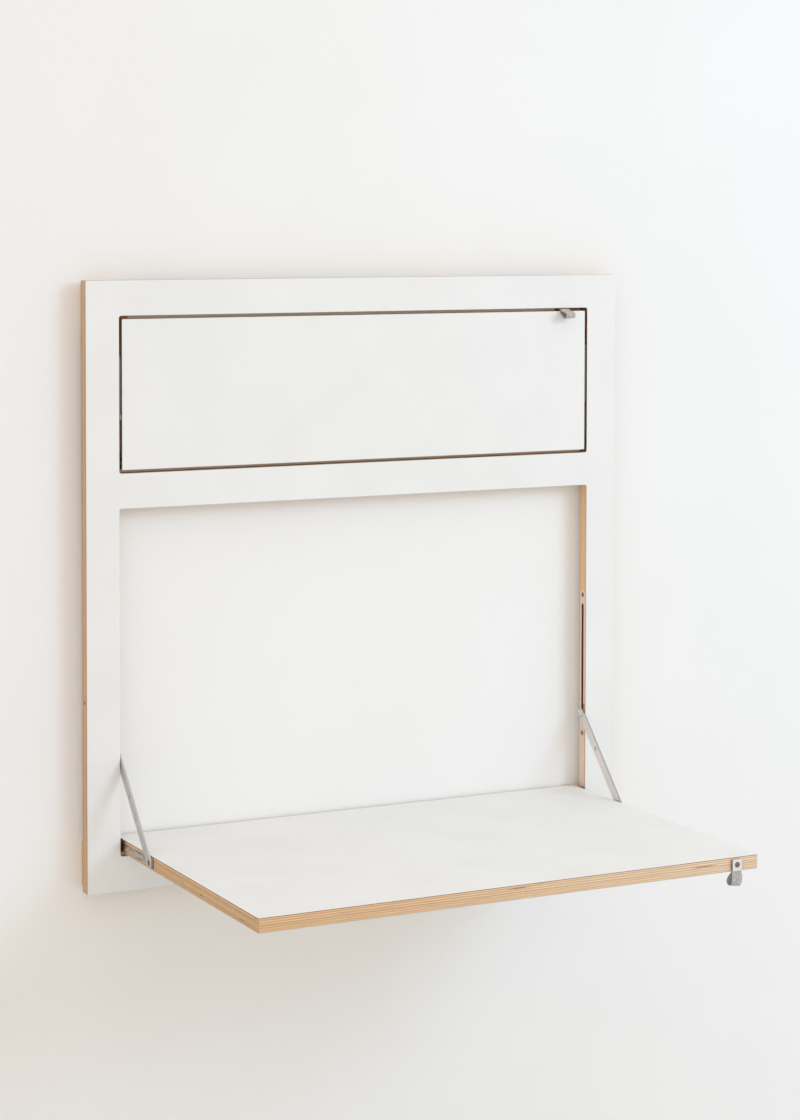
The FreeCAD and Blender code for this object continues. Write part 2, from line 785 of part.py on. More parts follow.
def export_stile_fittings(fold):
    export_pair(fold.name + "_rail", slotted_rail(fold))
    export(fold.name + "_rail_screws", rail_screws(fold))
    export(fold.name + "_hinge_pins", both_sides(hinge_pin(fold)))
    export(fold.name + "_hinge_washers", both_sides(hinge_washer(fold)))
    export_pair(fold.name + "_slider", slider(fold))


def export_panel(fold, outer_name, inner_name):
    outer = panel_layer(fold, half_board - laminate_thickness, half_board)
    inner = panel_layer(fold, -half_board, laminate_thickness - half_board)
    export(fold.name + "_core", put_on_hinge(fold, panel_core(fold)))
    export(outer_name, put_on_hinge(fold, outer))
    export(inner_name, put_on_hinge(fold, inner))
    export_pair(fold.name + "_side_plate", put_on_hinge(fold, side_plate(fold)))
    export(fold.name + "_side_plate_screws", [put_on_hinge(fold, s) for s in side_plate_screws(fold)])
    export(fold.name + "_pivot_rivets", both_sides(put_on_hinge(fold, pivot_rivet(fold))))
    export(fold.name + "_pivot_washers", both_sides(put_on_hinge(fold, pivot_washer(fold))))
    export(fold.name + "_pull_strap", put_on_hinge(fold, pull_strap(fold)))
    export(fold.name + "_strap_plate", put_on_hinge(fold, strap_plate(fold)))
    export(fold.name + "_strap_screw", put_on_hinge(fold, strap_screw(fold)))


def export_struts(fold):
    export_pair(fold.name + "_strut", put_on_pivot(fold, strut(fold)))
    export_pair(fold.name + "_strut_rivet", put_on_pivot(fold, strut_rivet(fold)))


def main():
    os.makedirs("parts", exist_ok=True)
    export_frame()
    for fold in (desk, flap):
        export_stile_fittings(fold)
        export_struts(fold)
        print(f"{fold.name}: hinge z {fold.hinge_z:.3f}, slider z {fold.slider_z(90.0):.3f} open, "
              f"{fold.slider_z(0.0):.3f} closed, strut lean {fold.strut_lean(90.0):.3f} open")
    export_panel(desk, "desk_under_laminate", "desk_top_laminate")
    export_panel(flap, "flap_front_laminate", "flap_back_laminate")


main()
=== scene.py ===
"""Looks of a wall-hung fold-down desk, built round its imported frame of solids.

Axes: +X to the right seen from the room, +Y into the wall, +Z up, with the wall's face at Y = 0.
Sizes in the classes are millimetres. A piece is shaped in millimetres and brought to metres when it
is done.
"""

import logging
import math
from collections.abc import Callable, Iterator, Sequence
from contextlib import contextmanager
from dataclasses import dataclass, replace
from enum import Enum

import bmesh
import bpy
from mathutils import Matrix, Vector


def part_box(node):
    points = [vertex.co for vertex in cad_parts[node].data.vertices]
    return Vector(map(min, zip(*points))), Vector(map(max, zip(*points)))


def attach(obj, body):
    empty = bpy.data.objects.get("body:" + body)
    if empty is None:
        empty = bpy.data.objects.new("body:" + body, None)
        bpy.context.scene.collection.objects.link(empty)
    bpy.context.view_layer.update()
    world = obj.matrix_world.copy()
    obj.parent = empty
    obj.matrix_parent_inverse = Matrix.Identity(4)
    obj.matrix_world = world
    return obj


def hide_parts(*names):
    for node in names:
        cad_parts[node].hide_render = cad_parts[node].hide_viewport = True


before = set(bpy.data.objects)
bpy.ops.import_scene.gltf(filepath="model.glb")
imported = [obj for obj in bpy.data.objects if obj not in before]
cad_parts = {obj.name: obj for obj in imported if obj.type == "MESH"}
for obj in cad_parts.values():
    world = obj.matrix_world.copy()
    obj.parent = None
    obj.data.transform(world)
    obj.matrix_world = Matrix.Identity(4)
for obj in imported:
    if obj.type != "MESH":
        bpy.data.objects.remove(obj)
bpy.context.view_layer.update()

MM = 0.001
SIDES = (-1.0, 1.0)
log = logging.getLogger("fold_down_desk")

Socket = bpy.types.NodeSocket
Piece = bpy.types.Object
Range = tuple[float, float]
Feed = float | tuple | Socket


class Axis(Enum):
    """An axis of the object, by its place in a vector."""

    X = 0
    Y = 1
    Z = 2


class Pick(Enum):
    """What a click selects in edit mode."""

    VERTEX = "VERT"
    EDGE = "EDGE"
    FACE = "FACE"


class Side(Enum):
    """A side of the object, seen from the room."""

    LEFT = "left"
    RIGHT = "right"


class Head(Enum):
    """Shape of a screw's head."""

    COUNTERSUNK = "countersunk"
    DOMED = "domed"


def darker(colour: Sequence[float], share: float) -> tuple[float, ...]:
    """A shader's colour made darker by a share."""
    return (*(channel * share for channel in colour[:3]), 1.0)


def tone(red: float, green: float, blue: float) -> tuple[float, float, float, float]:
    """Turns a colour in display steps from 0 to 255 into a shader's colour.

    Args:
        red: Its red, from 0 to 255.
        green: Its green.
        blue: Its blue.

    Returns:
        The colour, with an alpha of 1.
    """
    steps = [value / 255.0 for value in (red, green, blue)]
    linear = [((s + 0.055) / 1.055) ** 2.4 if s > 0.04045 else s / 12.92 for s in steps]
    return linear[0], linear[1], linear[2], 1.0


CORE = tone(150, 102, 68)
PALE_CORE = tone(214, 190, 160)
CROSS_TOP = 0.3  # depth below a screw's face past which its cross is painted in shade


# ---- sizes that several pieces share -------------------------------------------------------------
@dataclass(frozen=True)
class Board:
    """The sheet that frame and panels are cut from, and where it hangs."""

    half_width: float = 400.0
    half_height: float = 400.0
    front: float = -29.0
    back: float = -11.0
    skin: float = 0.8
    half_opening: float = 354.0
    half_panel: float = 350.0
    half_thickness: float = 9.0

    @property
    def core(self) -> float:
        """Thickness of the plywood between the skins."""
        return 2.0 * (self.half_thickness - self.skin)

    @property
    def middle(self) -> float:
        """Depth of the hinge axes, in the middle of the board."""
        return (self.front + self.back) / 2.0


BOARD = Board()


@dataclass(frozen=True)
class Fold:
    """One folding panel and its stays, at rest."""

    name: str
    opening: Range
    hinge_z: float
    heel: float
    reach: float
    crank: float
    strut_length: float
    lean: float
    slot: Range
    rail_screws: Range
    near_screw: float
    angle: float
    padded: bool

    @property
    def rebate_floor(self) -> float:
        """Height of the rebate's floor behind the frame, where the heel swings."""
        return self.hinge_z - self.heel - 0.77

    @property
    def plate_screws(self) -> Range:
        """Screws in a side plate, as distances from the hinge axis."""
        return self.near_screw, self.crank - 14.0

    def on_hinge(self) -> Matrix:
        """From the panel's axes, along X, away from the hinge and out of its face, to its place."""
        turn = Matrix.Rotation(math.radians(90.0 + self.angle), 4, "X")
        return Matrix.Translation((0.0, BOARD.middle, self.hinge_z)) @ turn

    def on_pivot(self) -> Matrix:
        """From an upright strut at the origin to its place and lean.

        Returns:
            The move.
        """
        turn = math.radians(self.angle)
        pivot = (0.0, BOARD.middle - self.crank * math.sin(turn),
                 self.hinge_z + self.crank * math.cos(turn))
        return Matrix.Translation(pivot) @ Matrix.Rotation(-math.radians(self.lean), 4, "X")


DESK = Fold("desk", opening=(-354.0, 102.5), hinge_z=-340.502, heel=16.994, reach=438.504,
            crank=106.0, strut_length=157.0, lean=42.467, slot=(-224.788, -71.002),
            rail_screws=(-253.988, -55.702), near_screw=30.0, angle=90.0, padded=True)
FLAP = Fold("flap", opening=(148.5, 354.0), hinge_z=161.998, heel=9.0, reach=187.504, crank=60.0,
            strut_length=76.0, lean=0.0, slot=(208.546, 299.998), rail_screws=(179.346, 312.598),
            near_screw=20.0, angle=0.0, padded=False)


# ---- finishes ------------------------------------------------------------------------------------
class Graph:
    """The node graph of a material or the world, with short ways to add what the finishes need."""

    def __init__(self, owner: bpy.types.Material | bpy.types.World) -> None:
        """Empties the owner's graph.

        Args:
            owner: The material or world.
        """
        owner.use_nodes = True
        self.tree = owner.node_tree
        self.tree.nodes.clear()

    def node(self, kind: str, feeds: dict | None = None, **settings: object) -> bpy.types.Node:
        """Adds a node.

        Args:
            kind: The node's type, without its prefix.
            feeds: Values or sockets for its inputs, by name or number.
            settings: The node's own settings.

        Returns:
            The node.
        """
        made = self.tree.nodes.new("ShaderNode" + kind)
        for key, value in settings.items():
            setattr(made, key, value)
        for key, value in (feeds or {}).items():
            if isinstance(value, Socket):
                self.tree.links.new(value, made.inputs[key])
            else:
                made.inputs[key].default_value = value
        return made

    def math(self, operation: str, first: Feed, second: Feed = 0.0) -> Socket:
        """Joins two numbers by an operation."""
        return self.node("Math", {0: first, 1: second}, operation=operation).outputs[0]

    def times(self, first: Feed, second: Feed) -> Socket:
        """One number times another."""
        return self.math("MULTIPLY", first, second)

    def plus(self, first: Feed, second: Feed) -> Socket:
        """One number and another."""
        return self.math("ADD", first, second)

    def minus(self, first: Feed, second: Feed) -> Socket:
        """One number less another."""
        return self.math("SUBTRACT", first, second)

    def size(self, number: Feed) -> Socket:
        """A number without its sign."""
        return self.math("ABSOLUTE", number)

    def ramp(self, value: Feed, low: float, high: float, start: float = 0.0,
             end: float = 1.0) -> Socket:
        """Eases from start to end while a value goes from low to high."""
        feeds = {"Value": value, "From Min": low, "From Max": high, "To Min": start, "To Max": end}
        return self.node("MapRange", feeds, interpolation_type="SMOOTHSTEP").outputs[0]

    def mix(self, factor: Feed, first: Feed, second: Feed, blend: str = "MIX") -> Socket:
        """Blends two colours."""
        feeds = {0: factor, 6: first, 7: second}
        return self.node("Mix", feeds, data_type="RGBA", blend_type=blend).outputs[2]

    def place(self) -> Socket:
        """The surface's place on the object, in millimetres."""
        there = self.node("TexCoord").outputs["Object"]
        return self.node("VectorMath", {0: there, "Scale": 1.0 / MM}, operation="SCALE").outputs[0]

    def facing(self) -> list[Socket]:
        """The direction that the surface faces, as three numbers."""
        return self.split(self.node("TexCoord").outputs["Normal"])

    def seen(self) -> Socket:
        """1 for rays of the camera, of reflections and of transmission, 0 for all others.

        Returns:
            The number.
        """
        path = self.node("LightPath").outputs
        looked = self.math("MAXIMUM", path["Is Camera Ray"], path["Is Glossy Ray"])
        return self.math("MAXIMUM", looked, path["Is Transmission Ray"])

    def split(self, vector: Socket) -> list[Socket]:
        """A vector's three numbers."""
        return list(self.node("SeparateXYZ", {0: vector}).outputs)

    def join(self, x: Feed, y: Feed, z: Feed) -> Socket:
        """Three numbers as a vector."""
        return self.node("CombineXYZ", {0: x, 1: y, 2: z}).outputs[0]

    def stretch(self, vector: Socket, shares: Sequence[float]) -> Socket:
        """A vector with each of its numbers multiplied by a share."""
        feeds = {0: vector, 1: tuple(shares)}
        return self.node("VectorMath", feeds, operation="MULTIPLY").outputs[0]

    def noise(self, vector: Socket, scale: float, detail: float = 2.0,
              rough: float = 0.5) -> Socket:
        """Soft random pattern between 0 and 1, of a number of grains to the unit."""
        feeds = {"Vector": vector, "Scale": scale, "Detail": detail, "Roughness": rough}
        return self.node("TexNoise", feeds).outputs[0]

    def bump(self, height: Socket, depth: float, normal: Socket | None = None) -> Socket:
        """Relief of a depth in millimetres.

        Args:
            height: Its height, from 0 to 1.
            depth: The height that 1 stands for.
            normal: The relief that it lies on.

        Returns:
            The surface's new normal.
        """
        feeds = {"Height": height, "Distance": depth * MM, "Strength": 1.0}
        if normal is not None:
            feeds["Normal"] = normal
        return self.node("Bump", feeds).outputs[0]

    def marks(self, place: Socket, flaws_and_shade: Sequence["Flaw"]) -> Feed:
        """How strongly any of the wood's marks or patches of painted shade shows at a place.

        Args:
            place: The place, in millimetres.
            flaws_and_shade: The marks of the wood and the patches of painted shade.

        Returns:
            0 for no flaw, up to 1.
        """
        ragged = self.noise(place, 0.7, 3.0, 0.6)
        shown: Feed = 0.0
        for flaw_or_shade in flaws_and_shade:
            feeds = {0: place, 1: flaw_or_shade.middle}
            away = self.node("VectorMath", feeds, operation="SUBTRACT").outputs[0]
            away = self.stretch(away, [1.0 / reach for reach in flaw_or_shade.reach])
            length = self.node("VectorMath", {0: away}, operation="LENGTH").outputs["Value"]
            length = self.plus(length, self.ramp(ragged, 0.2, 0.8, -flaw_or_shade.ragged, flaw_or_shade.ragged))
            shown = self.math("MAXIMUM", self.ramp(length, 0.55, 1.0, flaw_or_shade.strength, 0.0), shown)
        return shown

    def surface(self, **feeds: Feed) -> None:
        """Ends the graph in the main shader.

        Args:
            feeds: Values or sockets for the shader's inputs, with _ for the blanks in their names.
        """
        named = {key.replace("_", " "): value for key, value in feeds.items()}
        shader = self.node("BsdfPrincipled", named)
        self.node("OutputMaterial", {"Surface": shader.outputs[0]})


@dataclass(frozen=True)
class Flaw:
    """A dark spot, streak or smear of the wood, or a patch of painted shade: its middle and half
    sizes along X, Y and Z.
    """

    middle: tuple[float, float, float]
    reach: tuple[float, float, float]
    strength: float = 1.0
    ragged: float = 0.45


@dataclass(frozen=True)
class Finish:
    """What a surface is made of. It is painted into a graph once and then shared."""

    name: str
    slot: str

    def material(self) -> bpy.types.Material:
        """The finish's material, made at its first use.

        Returns:
            The material.
        """
        found = bpy.data.materials.get(self.name)
        if found is None:
            found = bpy.data.materials.new(self.name)
            self.paint(Graph(found))
        return found

    def paint(self, graph: Graph) -> None:
        """Fills the graph. Each kind of finish has its own way."""
        raise NotImplementedError


@dataclass(frozen=True)
class Laminate(Finish):
    """White laminate: a thin pale face over a brown paper core, which shows where it is cut."""

    axis: Axis
    face: float
    decor: float = 0.13
    white: tuple = tone(235, 236, 233)
    core: tuple = CORE

    def paint(self, graph: Graph) -> None:
        """A pale face with faint clouding and a fine pearl, and a brown cut edge.

        Args:
            graph: The graph to fill.
        """
        place = graph.place()
        depth = graph.minus(graph.split(place)[self.axis.value], self.face)
        cut = graph.ramp(graph.size(depth), self.decor, self.decor + 0.06)
        cloud = graph.noise(place, 0.011, 3.0)
        pearl = graph.noise(place, 0.9, 2.0)
        shade = darker(self.white, 0.972)
        face = graph.mix(graph.ramp(cloud, 0.3, 0.7), shade, self.white)
        streak = graph.noise(graph.stretch(place, (0.05, 1.0, 1.0)), 1.3, 3.0)
        dark = darker(self.core, 0.7)
        paper = graph.mix(graph.ramp(streak, 0.35, 0.65), self.core, dark)
        smudge = graph.noise(place, 0.045, 4.0, 0.6)
        rough = graph.ramp(smudge, 0.25, 0.8, 0.5, 0.62)
        graph.surface(Base_Color=graph.mix(cut, face, paper), Roughness=rough,
                      Normal=graph.bump(pearl, 0.012), Specular_IOR_Level=0.35)


@dataclass(frozen=True)
class BirchPly(Finish):
    """Birch plywood seen on its edges: plies with their grain along and across by turns."""

    stack: Axis
    start: float
    thickness: float
    plies: int = 11
    seed: float = 0.0
    flaws_and_shade: tuple[Flaw, ...] = ()
    pale: tuple = tone(240, 216, 183)
    long_dark: tuple = tone(221, 190, 152)
    end_grain: tuple = tone(224, 191, 154)
    end_dark: tuple = tone(200, 162, 122)
    glue: tuple = tone(176, 138, 104)
    flaw_and_shade_tone: tuple = tone(112, 72, 48)
    milled: float = 0.0
    tint: tuple = (1.0, 0.965, 0.93, 1.0)
    far_light_tint: tuple | None = None
    banding: Range = (0.0, 0.3)
    bands: float = 2.0
    rim: float = 0.0
    pocket_shade_tone: tuple = tone(100, 66, 44)

    def paint(self, graph: Graph) -> None:
        """Plies, glue lines, streaks along the grain, pores across it, the wood's marks, and
        painted light and shade.

        Args:
            graph: The graph to fill.
        """
        place = graph.place()
        parts = graph.split(place)
        first, second = [axis.value for axis in Axis if axis is not self.stack]
        looks_first = graph.math("GREATER_THAN", graph.size(graph.facing()[first]), 0.5)
        along_first = graph.times(parts[first], graph.minus(1.0, looks_first))
        along = graph.plus(along_first, graph.times(parts[second], looks_first))

        depth = graph.minus(parts[self.stack.value], self.start)
        sway = graph.noise(graph.join(graph.times(along, 0.012), self.seed, 0.0), 1.0, 3.0)
        count = graph.times(depth, self.plies / self.thickness)
        count = graph.plus(count, graph.ramp(sway, 0.0, 1.0, -0.16, 0.16))
        ply = graph.math("FLOOR", count)
        part = graph.math("FRACT", count)
        odd = graph.size(graph.math("MODULO", ply, 2.0))
        cross = graph.size(graph.minus(odd, looks_first))
        seeded = graph.plus(ply, self.seed)
        chance = graph.node("TexWhiteNoise", {"W": seeded}, noise_dimensions="1D").outputs["Value"]

        shift = graph.times(chance, 37.0)
        long_place = graph.join(graph.times(along, 0.03), graph.times(depth, 2.4), shift)
        streak = graph.noise(long_place, 1.0, 5.0, 0.62)
        end_place = graph.join(graph.times(along, 0.55), graph.times(depth, 1.6), shift)
        pore = graph.noise(end_place, 1.0, 4.0, 0.65)
        broad = graph.noise(graph.join(graph.times(along, 0.008), shift, 0.0), 1.0, 2.0)

        long_tone = graph.mix(graph.ramp(streak, 0.34, 0.68), self.long_dark, self.pale)
        end_tone = graph.mix(graph.ramp(pore, 0.3, 0.7), self.end_dark, self.end_grain)
        wood = graph.mix(cross, long_tone, end_tone)
        lift = graph.ramp(chance, 0.0, 1.0, 0.9, 1.06)
        lift = graph.times(lift, graph.ramp(broad, 0.25, 0.75, 0.94, 1.05))
        wood = graph.mix(1.0, wood, graph.join(lift, lift, lift), "MULTIPLY")
        seam = graph.size(graph.minus(part, 0.5))
        seam = graph.times(graph.ramp(seam, 0.38, 0.5), graph.ramp(broad, 0.35, 0.65, 0.1, 0.4))
        wood = graph.mix(seam, wood, self.glue)
        rim = graph.size(graph.minus(depth, self.thickness / 2.0))
        rim = graph.ramp(rim, self.thickness / 2.0 - 0.9, self.thickness / 2.0 - 0.1, 0.0, self.rim)
        wood = graph.mix(graph.times(rim, graph.ramp(broad, 0.2, 0.7, 0.5, 1.0)), wood, self.glue)

        relief = graph.minus(graph.mix(cross, streak, pore), graph.times(seam, 0.8))
        # Painted light and shade: a tint that drifts across the object and darkens the left end's
        # edges.
        wood = graph.mix(1.0, wood, self.tint_and_painted_light(graph, parts[0], depth, looks_first), "MULTIPLY")
        # Knots and streaks, and patches of painted shade, in one dark colour.
        if self.flaws_and_shade:
            wood = graph.mix(graph.marks(place, self.flaws_and_shade), wood, self.flaw_and_shade_tone)
        # Painted shade in the pockets milled for the rails.
        if self.milled > 0.0:
            wood = graph.mix(self.inside(graph, parts), wood, self.pocket_shade_tone)
        rough = graph.ramp(pore, 0.2, 0.8, 0.5, 0.66)
        graph.surface(Base_Color=wood, Roughness=rough, Normal=graph.bump(relief, 0.12),
                      Specular_IOR_Level=0.3)

    def tint_and_painted_light(self, graph: Graph, across: Socket, depth: Socket, looks_first: Socket) -> Feed:
        """The wood's tint: even, or with painted light that drifts paler to the right, and painted
        shade with stronger ply bands on the left end's edges.

        Args:
            graph: The graph.
            across: The place along X.
            depth: How deep in the stack.
            looks_first: 1 on edges that look along the first axis.

        Returns:
            The colour to multiply the wood by.
        """
        if self.far_light_tint is None:
            return self.tint
        far = graph.ramp(across, -BOARD.half_panel, BOARD.half_panel)
        tint = graph.mix(far, self.tint, self.far_light_tint)
        strength, first_dark = self.banding
        wave = graph.minus(graph.math("DIVIDE", depth, self.thickness), first_dark)
        wave = graph.math("COSINE", graph.times(wave, 2.0 * math.pi * self.bands))
        band = graph.minus(0.95, graph.times(wave, strength))
        side = graph.times(looks_first, graph.minus(1.0, far))
        return graph.mix(side, tint, graph.mix(1.0, tint, graph.join(band, band, band), "MULTIPLY"))

    def inside(self, graph: Graph, parts: Sequence[Socket]) -> Socket:
        """1 in the pockets milled into the frame's stiles, which are painted in shade, 0 elsewhere.

        Args:
            graph: The graph.
            parts: The place along X, Y and Z.

        Returns:
            The number.
        """
        side, height = graph.size(parts[0]), graph.size(parts[2])
        deep = graph.times(graph.math("GREATER_THAN", side, self.milled),
                           graph.math("LESS_THAN", side, BOARD.half_width - 1.0))
        return graph.times(deep, graph.math("LESS_THAN", height, BOARD.half_height - 1.0))


@dataclass(frozen=True)
class Metal(Finish):
    """Metal with fine lines along one direction, or an even grain where they are short."""

    colour: tuple
    dark: tuple
    lines: tuple[float, float, float] = (1.0, 1.0, 1.0)
    lean: float = 0.0
    roughness: Range = (0.3, 0.45)
    relief: float = 0.01
    metallic: float = 1.0
    edge: tuple | None = None
    unshaded_span: Range | None = None
    painted_shade: tuple[Flaw, ...] = ()
    recess_shade_tone: tuple = tone(58, 44, 36)
    painted_shade_tone: tuple = tone(78, 52, 38)

    def paint(self, graph: Graph) -> None:
        """Fine lines in colour, gloss and relief, worn patches, and painted shade on edges, in
        screws' crosses and in patches.

        Args:
            graph: The graph to fill.
        """
        place = graph.place()
        turned = graph.node("Mapping", {"Vector": place,
                                        "Rotation": (math.radians(self.lean), 0.0, 0.0)})
        lines = graph.noise(graph.stretch(turned.outputs[0], self.lines), 1.0, 4.0, 0.7)
        patch = graph.noise(place, 0.12, 3.0, 0.6)
        blend = graph.plus(graph.ramp(lines, 0.3, 0.7, 0.0, 0.6),
                           graph.ramp(patch, 0.35, 0.75, 0.0, 0.4))
        low, high = self.roughness
        colour = graph.mix(blend, self.colour, self.dark)
        metallic: Feed = self.metallic
        # Painted shade: faces that don't look along X take the darker edge colour.
        if self.edge is not None:
            flat = graph.ramp(graph.size(graph.facing()[0]), 0.5, 0.8)
            colour = graph.mix(flat, self.edge, colour)
        # Painted shade in screws' crosses: past a depth the metal turns dark and stops being metal.
        if self.unshaded_span is not None:
            side = graph.size(graph.split(place)[0])
            recess_shade = graph.math("MAXIMUM", graph.math("LESS_THAN", side, self.unshaded_span[0]),
                              graph.math("GREATER_THAN", side, self.unshaded_span[1]))
            colour = graph.mix(recess_shade, colour, self.recess_shade_tone)
            metallic = graph.times(graph.minus(1.0, recess_shade), self.metallic)
        # Patches of painted shade and painted shadow, dark and dull.
        if self.painted_shade:
            painted_shade = graph.marks(place, self.painted_shade)
            colour = graph.mix(painted_shade, colour, self.painted_shade_tone)
            metallic = graph.times(graph.minus(1.0, painted_shade), self.metallic)
        graph.surface(Base_Color=colour, Metallic=metallic,
                      Roughness=graph.ramp(patch, 0.3, 0.7, low, high),
                      Normal=graph.bump(lines, self.relief))


@dataclass(frozen=True)
class Moulded(Finish):
    """Moulded nylon, or a dark brown moulding."""

    colour: tuple
    shade: tuple

    def paint(self, graph: Graph) -> None:
        """A faintly clouded colour with a moulded skin.

        Args:
            graph: The graph to fill.
        """
        place = graph.place()
        cloud = graph.noise(place, 0.4, 3.0)
        colour = graph.mix(graph.ramp(cloud, 0.3, 0.7), self.colour, self.shade)
        graph.surface(Base_Color=colour, Roughness=graph.ramp(cloud, 0.3, 0.7, 0.34, 0.46),
                      Normal=graph.bump(graph.noise(place, 2.5, 2.0), 0.01))


@dataclass(frozen=True)
class WoolFelt(Finish):
    """Pressed wool felt: mixed light and dark fibres, matted, with a soft sheen."""

    light: tuple = tone(222, 217, 215)
    dark: tuple = tone(150, 143, 141)
    shaded_spots: tuple[Flaw, ...] = ()
    side_shade_tone: tuple = tone(96, 84, 80)
    hair: tuple = tone(70, 64, 64)
    spot_shade_tone: tuple = tone(92, 72, 58)

    def paint(self, graph: Graph) -> None:
        """Fibres as warped fine noise, darker hollows, a few nearly black hairs, and painted shade
        on the side faces and where the plate grips.

        Args:
            graph: The graph to fill.
        """
        place = graph.place()
        warp = graph.node("TexNoise", {"Vector": place, "Scale": 0.9, "Detail": 2.0})
        bent = graph.node("VectorMath", {0: warp.outputs["Color"], "Scale": 1.7},
                          operation="SCALE").outputs[0]
        bent = graph.node("VectorMath", {0: place, 1: bent}, operation="ADD").outputs[0]
        fibre = graph.noise(graph.stretch(bent, (1.0, 2.6, 2.6)), 1.6, 5.0, 0.75)
        mat = graph.noise(place, 0.32, 4.0, 0.6)
        hairs = graph.noise(graph.stretch(bent, (3.4, 1.0, 1.3)), 2.2, 3.0, 0.6)
        hairs = graph.ramp(hairs, 0.6, 0.68)
        colour = graph.mix(graph.ramp(fibre, 0.32, 0.66), self.dark, self.light)
        colour = graph.mix(graph.ramp(mat, 0.4, 0.62, 0.0, 0.6), colour, self.dark)
        # Painted shade on the felt's faces that look along X.
        side = graph.size(graph.facing()[0])
        colour = graph.mix(graph.ramp(side, 0.6, 0.95, 0.0, 0.7), colour, self.side_shade_tone)
        colour = graph.mix(graph.times(hairs, 0.4), colour, self.hair)
        # Painted shade where the plate grips the felt.
        if self.shaded_spots:
            colour = graph.mix(graph.marks(place, self.shaded_spots), colour, self.spot_shade_tone)
        height = graph.plus(fibre, graph.times(mat, 1.4))
        graph.surface(Base_Color=colour, Roughness=0.95, Normal=graph.bump(height, 0.28),
                      Sheen_Weight=0.25, Sheen_Roughness=0.5, Specular_IOR_Level=0.15)


ROUND_GRAIN = (1.5, 1.5, 1.5)
PLATE_LINES = (4.0, 0.2, 0.2)
PAD = Metal("plate_pad", "stainless_steel", tone(204, 206, 214), tone(188, 190, 200),
            (2.0, 0.3, 3.0))
ZINC = Metal("zinc_steel", "zinc_steel", tone(196, 198, 200), tone(150, 154, 158), (0.5, 0.5, 0.5),
             roughness=(0.32, 0.5))
SCREW = Metal("dark_screw", "dark_screw", tone(150, 143, 138), tone(104, 98, 95), ROUND_GRAIN,
              roughness=(0.35, 0.5))
# The crosses of these screws are painted in shade below CROSS_TOP.
STILE_SCREW = Metal("stile_screw", "zinc_steel", tone(172, 154, 140), tone(124, 108, 97),
                    ROUND_GRAIN, unshaded_span=(0.0, BOARD.half_opening + CROSS_TOP))
EDGE_SCREW = Metal("edge_screw", "zinc_steel", tone(214, 198, 186), tone(180, 162, 150),
                   ROUND_GRAIN, unshaded_span=(BOARD.half_panel - CROSS_TOP, BOARD.half_width))
RIVET = Metal("dark_rivet", "zinc_steel", tone(112, 118, 130), tone(76, 80, 90), ROUND_GRAIN)
DOME = Metal("domed_rivet", "zinc_steel", tone(236, 232, 228), tone(214, 210, 206), (0.7, 0.7, 0.7))
SATIN = Metal("satin_plate", "satin_plate", tone(238, 238, 236), tone(222, 222, 220), PLATE_LINES,
              roughness=(0.42, 0.55), metallic=0.25)
# A copy of the satin plate painted darker, as in shade, for the flap's plate in its gap.
SHADED_SATIN = replace(SATIN, name="shaded_satin_plate", colour=tone(186, 175, 152),
                     dark=tone(166, 154, 132))
NYLON = Moulded("nylon", "nylon", tone(222, 220, 212), tone(205, 202, 192))
# Hinge washers: dark brown, a colour that stands in for the shade at the hinges.
DARK_WASHER = Moulded("dark_washer", "nylon", tone(84, 62, 48), tone(62, 44, 34))


# ---- the bench: ways to shape a piece ------------------------------------------------------------
def focus(piece: Piece) -> None:
    """Leaves one piece selected and active.

    Args:
        piece: The piece.
    """
    bpy.ops.object.select_all(action="DESELECT")
    piece.select_set(True)
    bpy.context.view_layer.objects.active = piece


def apply_place() -> None:
    """Puts the active piece's place, turn and size into its mesh."""
    bpy.ops.object.transform_apply(location=True, rotation=True, scale=True)


def start(primitive: Callable, **settings: object) -> Piece:
    """Adds a primitive with nothing else selected.

    Args:
        primitive: The operator that adds it.
        settings: Its sizes and place.

    Returns:
        The new piece, with its place in its mesh.
    """
    bpy.ops.object.select_all(action="DESELECT")
    primitive(**settings)
    apply_place()
    return bpy.context.object


@contextmanager
def editing(piece: Piece, pick: Pick = Pick.FACE) -> Iterator[None]:
    """Edit mode on one piece, with nothing selected at first.

    Args:
        piece: The piece to edit.
        pick: What a click selects.

    Yields:
        Nothing, for as long as edit mode lasts.
    """
    focus(piece)
    bpy.ops.object.mode_set(mode="EDIT")
    bpy.ops.mesh.select_mode(type=pick.value)
    bpy.ops.mesh.select_all(action="DESELECT")
    yield
    bpy.ops.object.mode_set(mode="OBJECT")


def choose(kind: str, test: Callable) -> None:
    """Selects the vertices, edges or faces that pass a test, in edit mode.

    Args:
        kind: The kind of part: verts, edges or faces.
        test: Says whether a part is selected.
    """
    mesh = bmesh.from_edit_mesh(bpy.context.edit_object.data)
    for part in getattr(mesh, kind):
        part.select_set(bool(test(part)))
    mesh.select_flush_mode()
    bmesh.update_edit_mesh(bpy.context.edit_object.data)


def extrude(step: Sequence[float]) -> None:
    """Extrudes what is selected by a step."""
    bpy.ops.mesh.extrude_region_move(TRANSFORM_OT_translate={"value": tuple(step)})


def face_out() -> None:
    """Turns every face outwards, in edit mode."""
    bpy.ops.mesh.select_all(action="SELECT")
    bpy.ops.mesh.normals_make_consistent(inside=False)


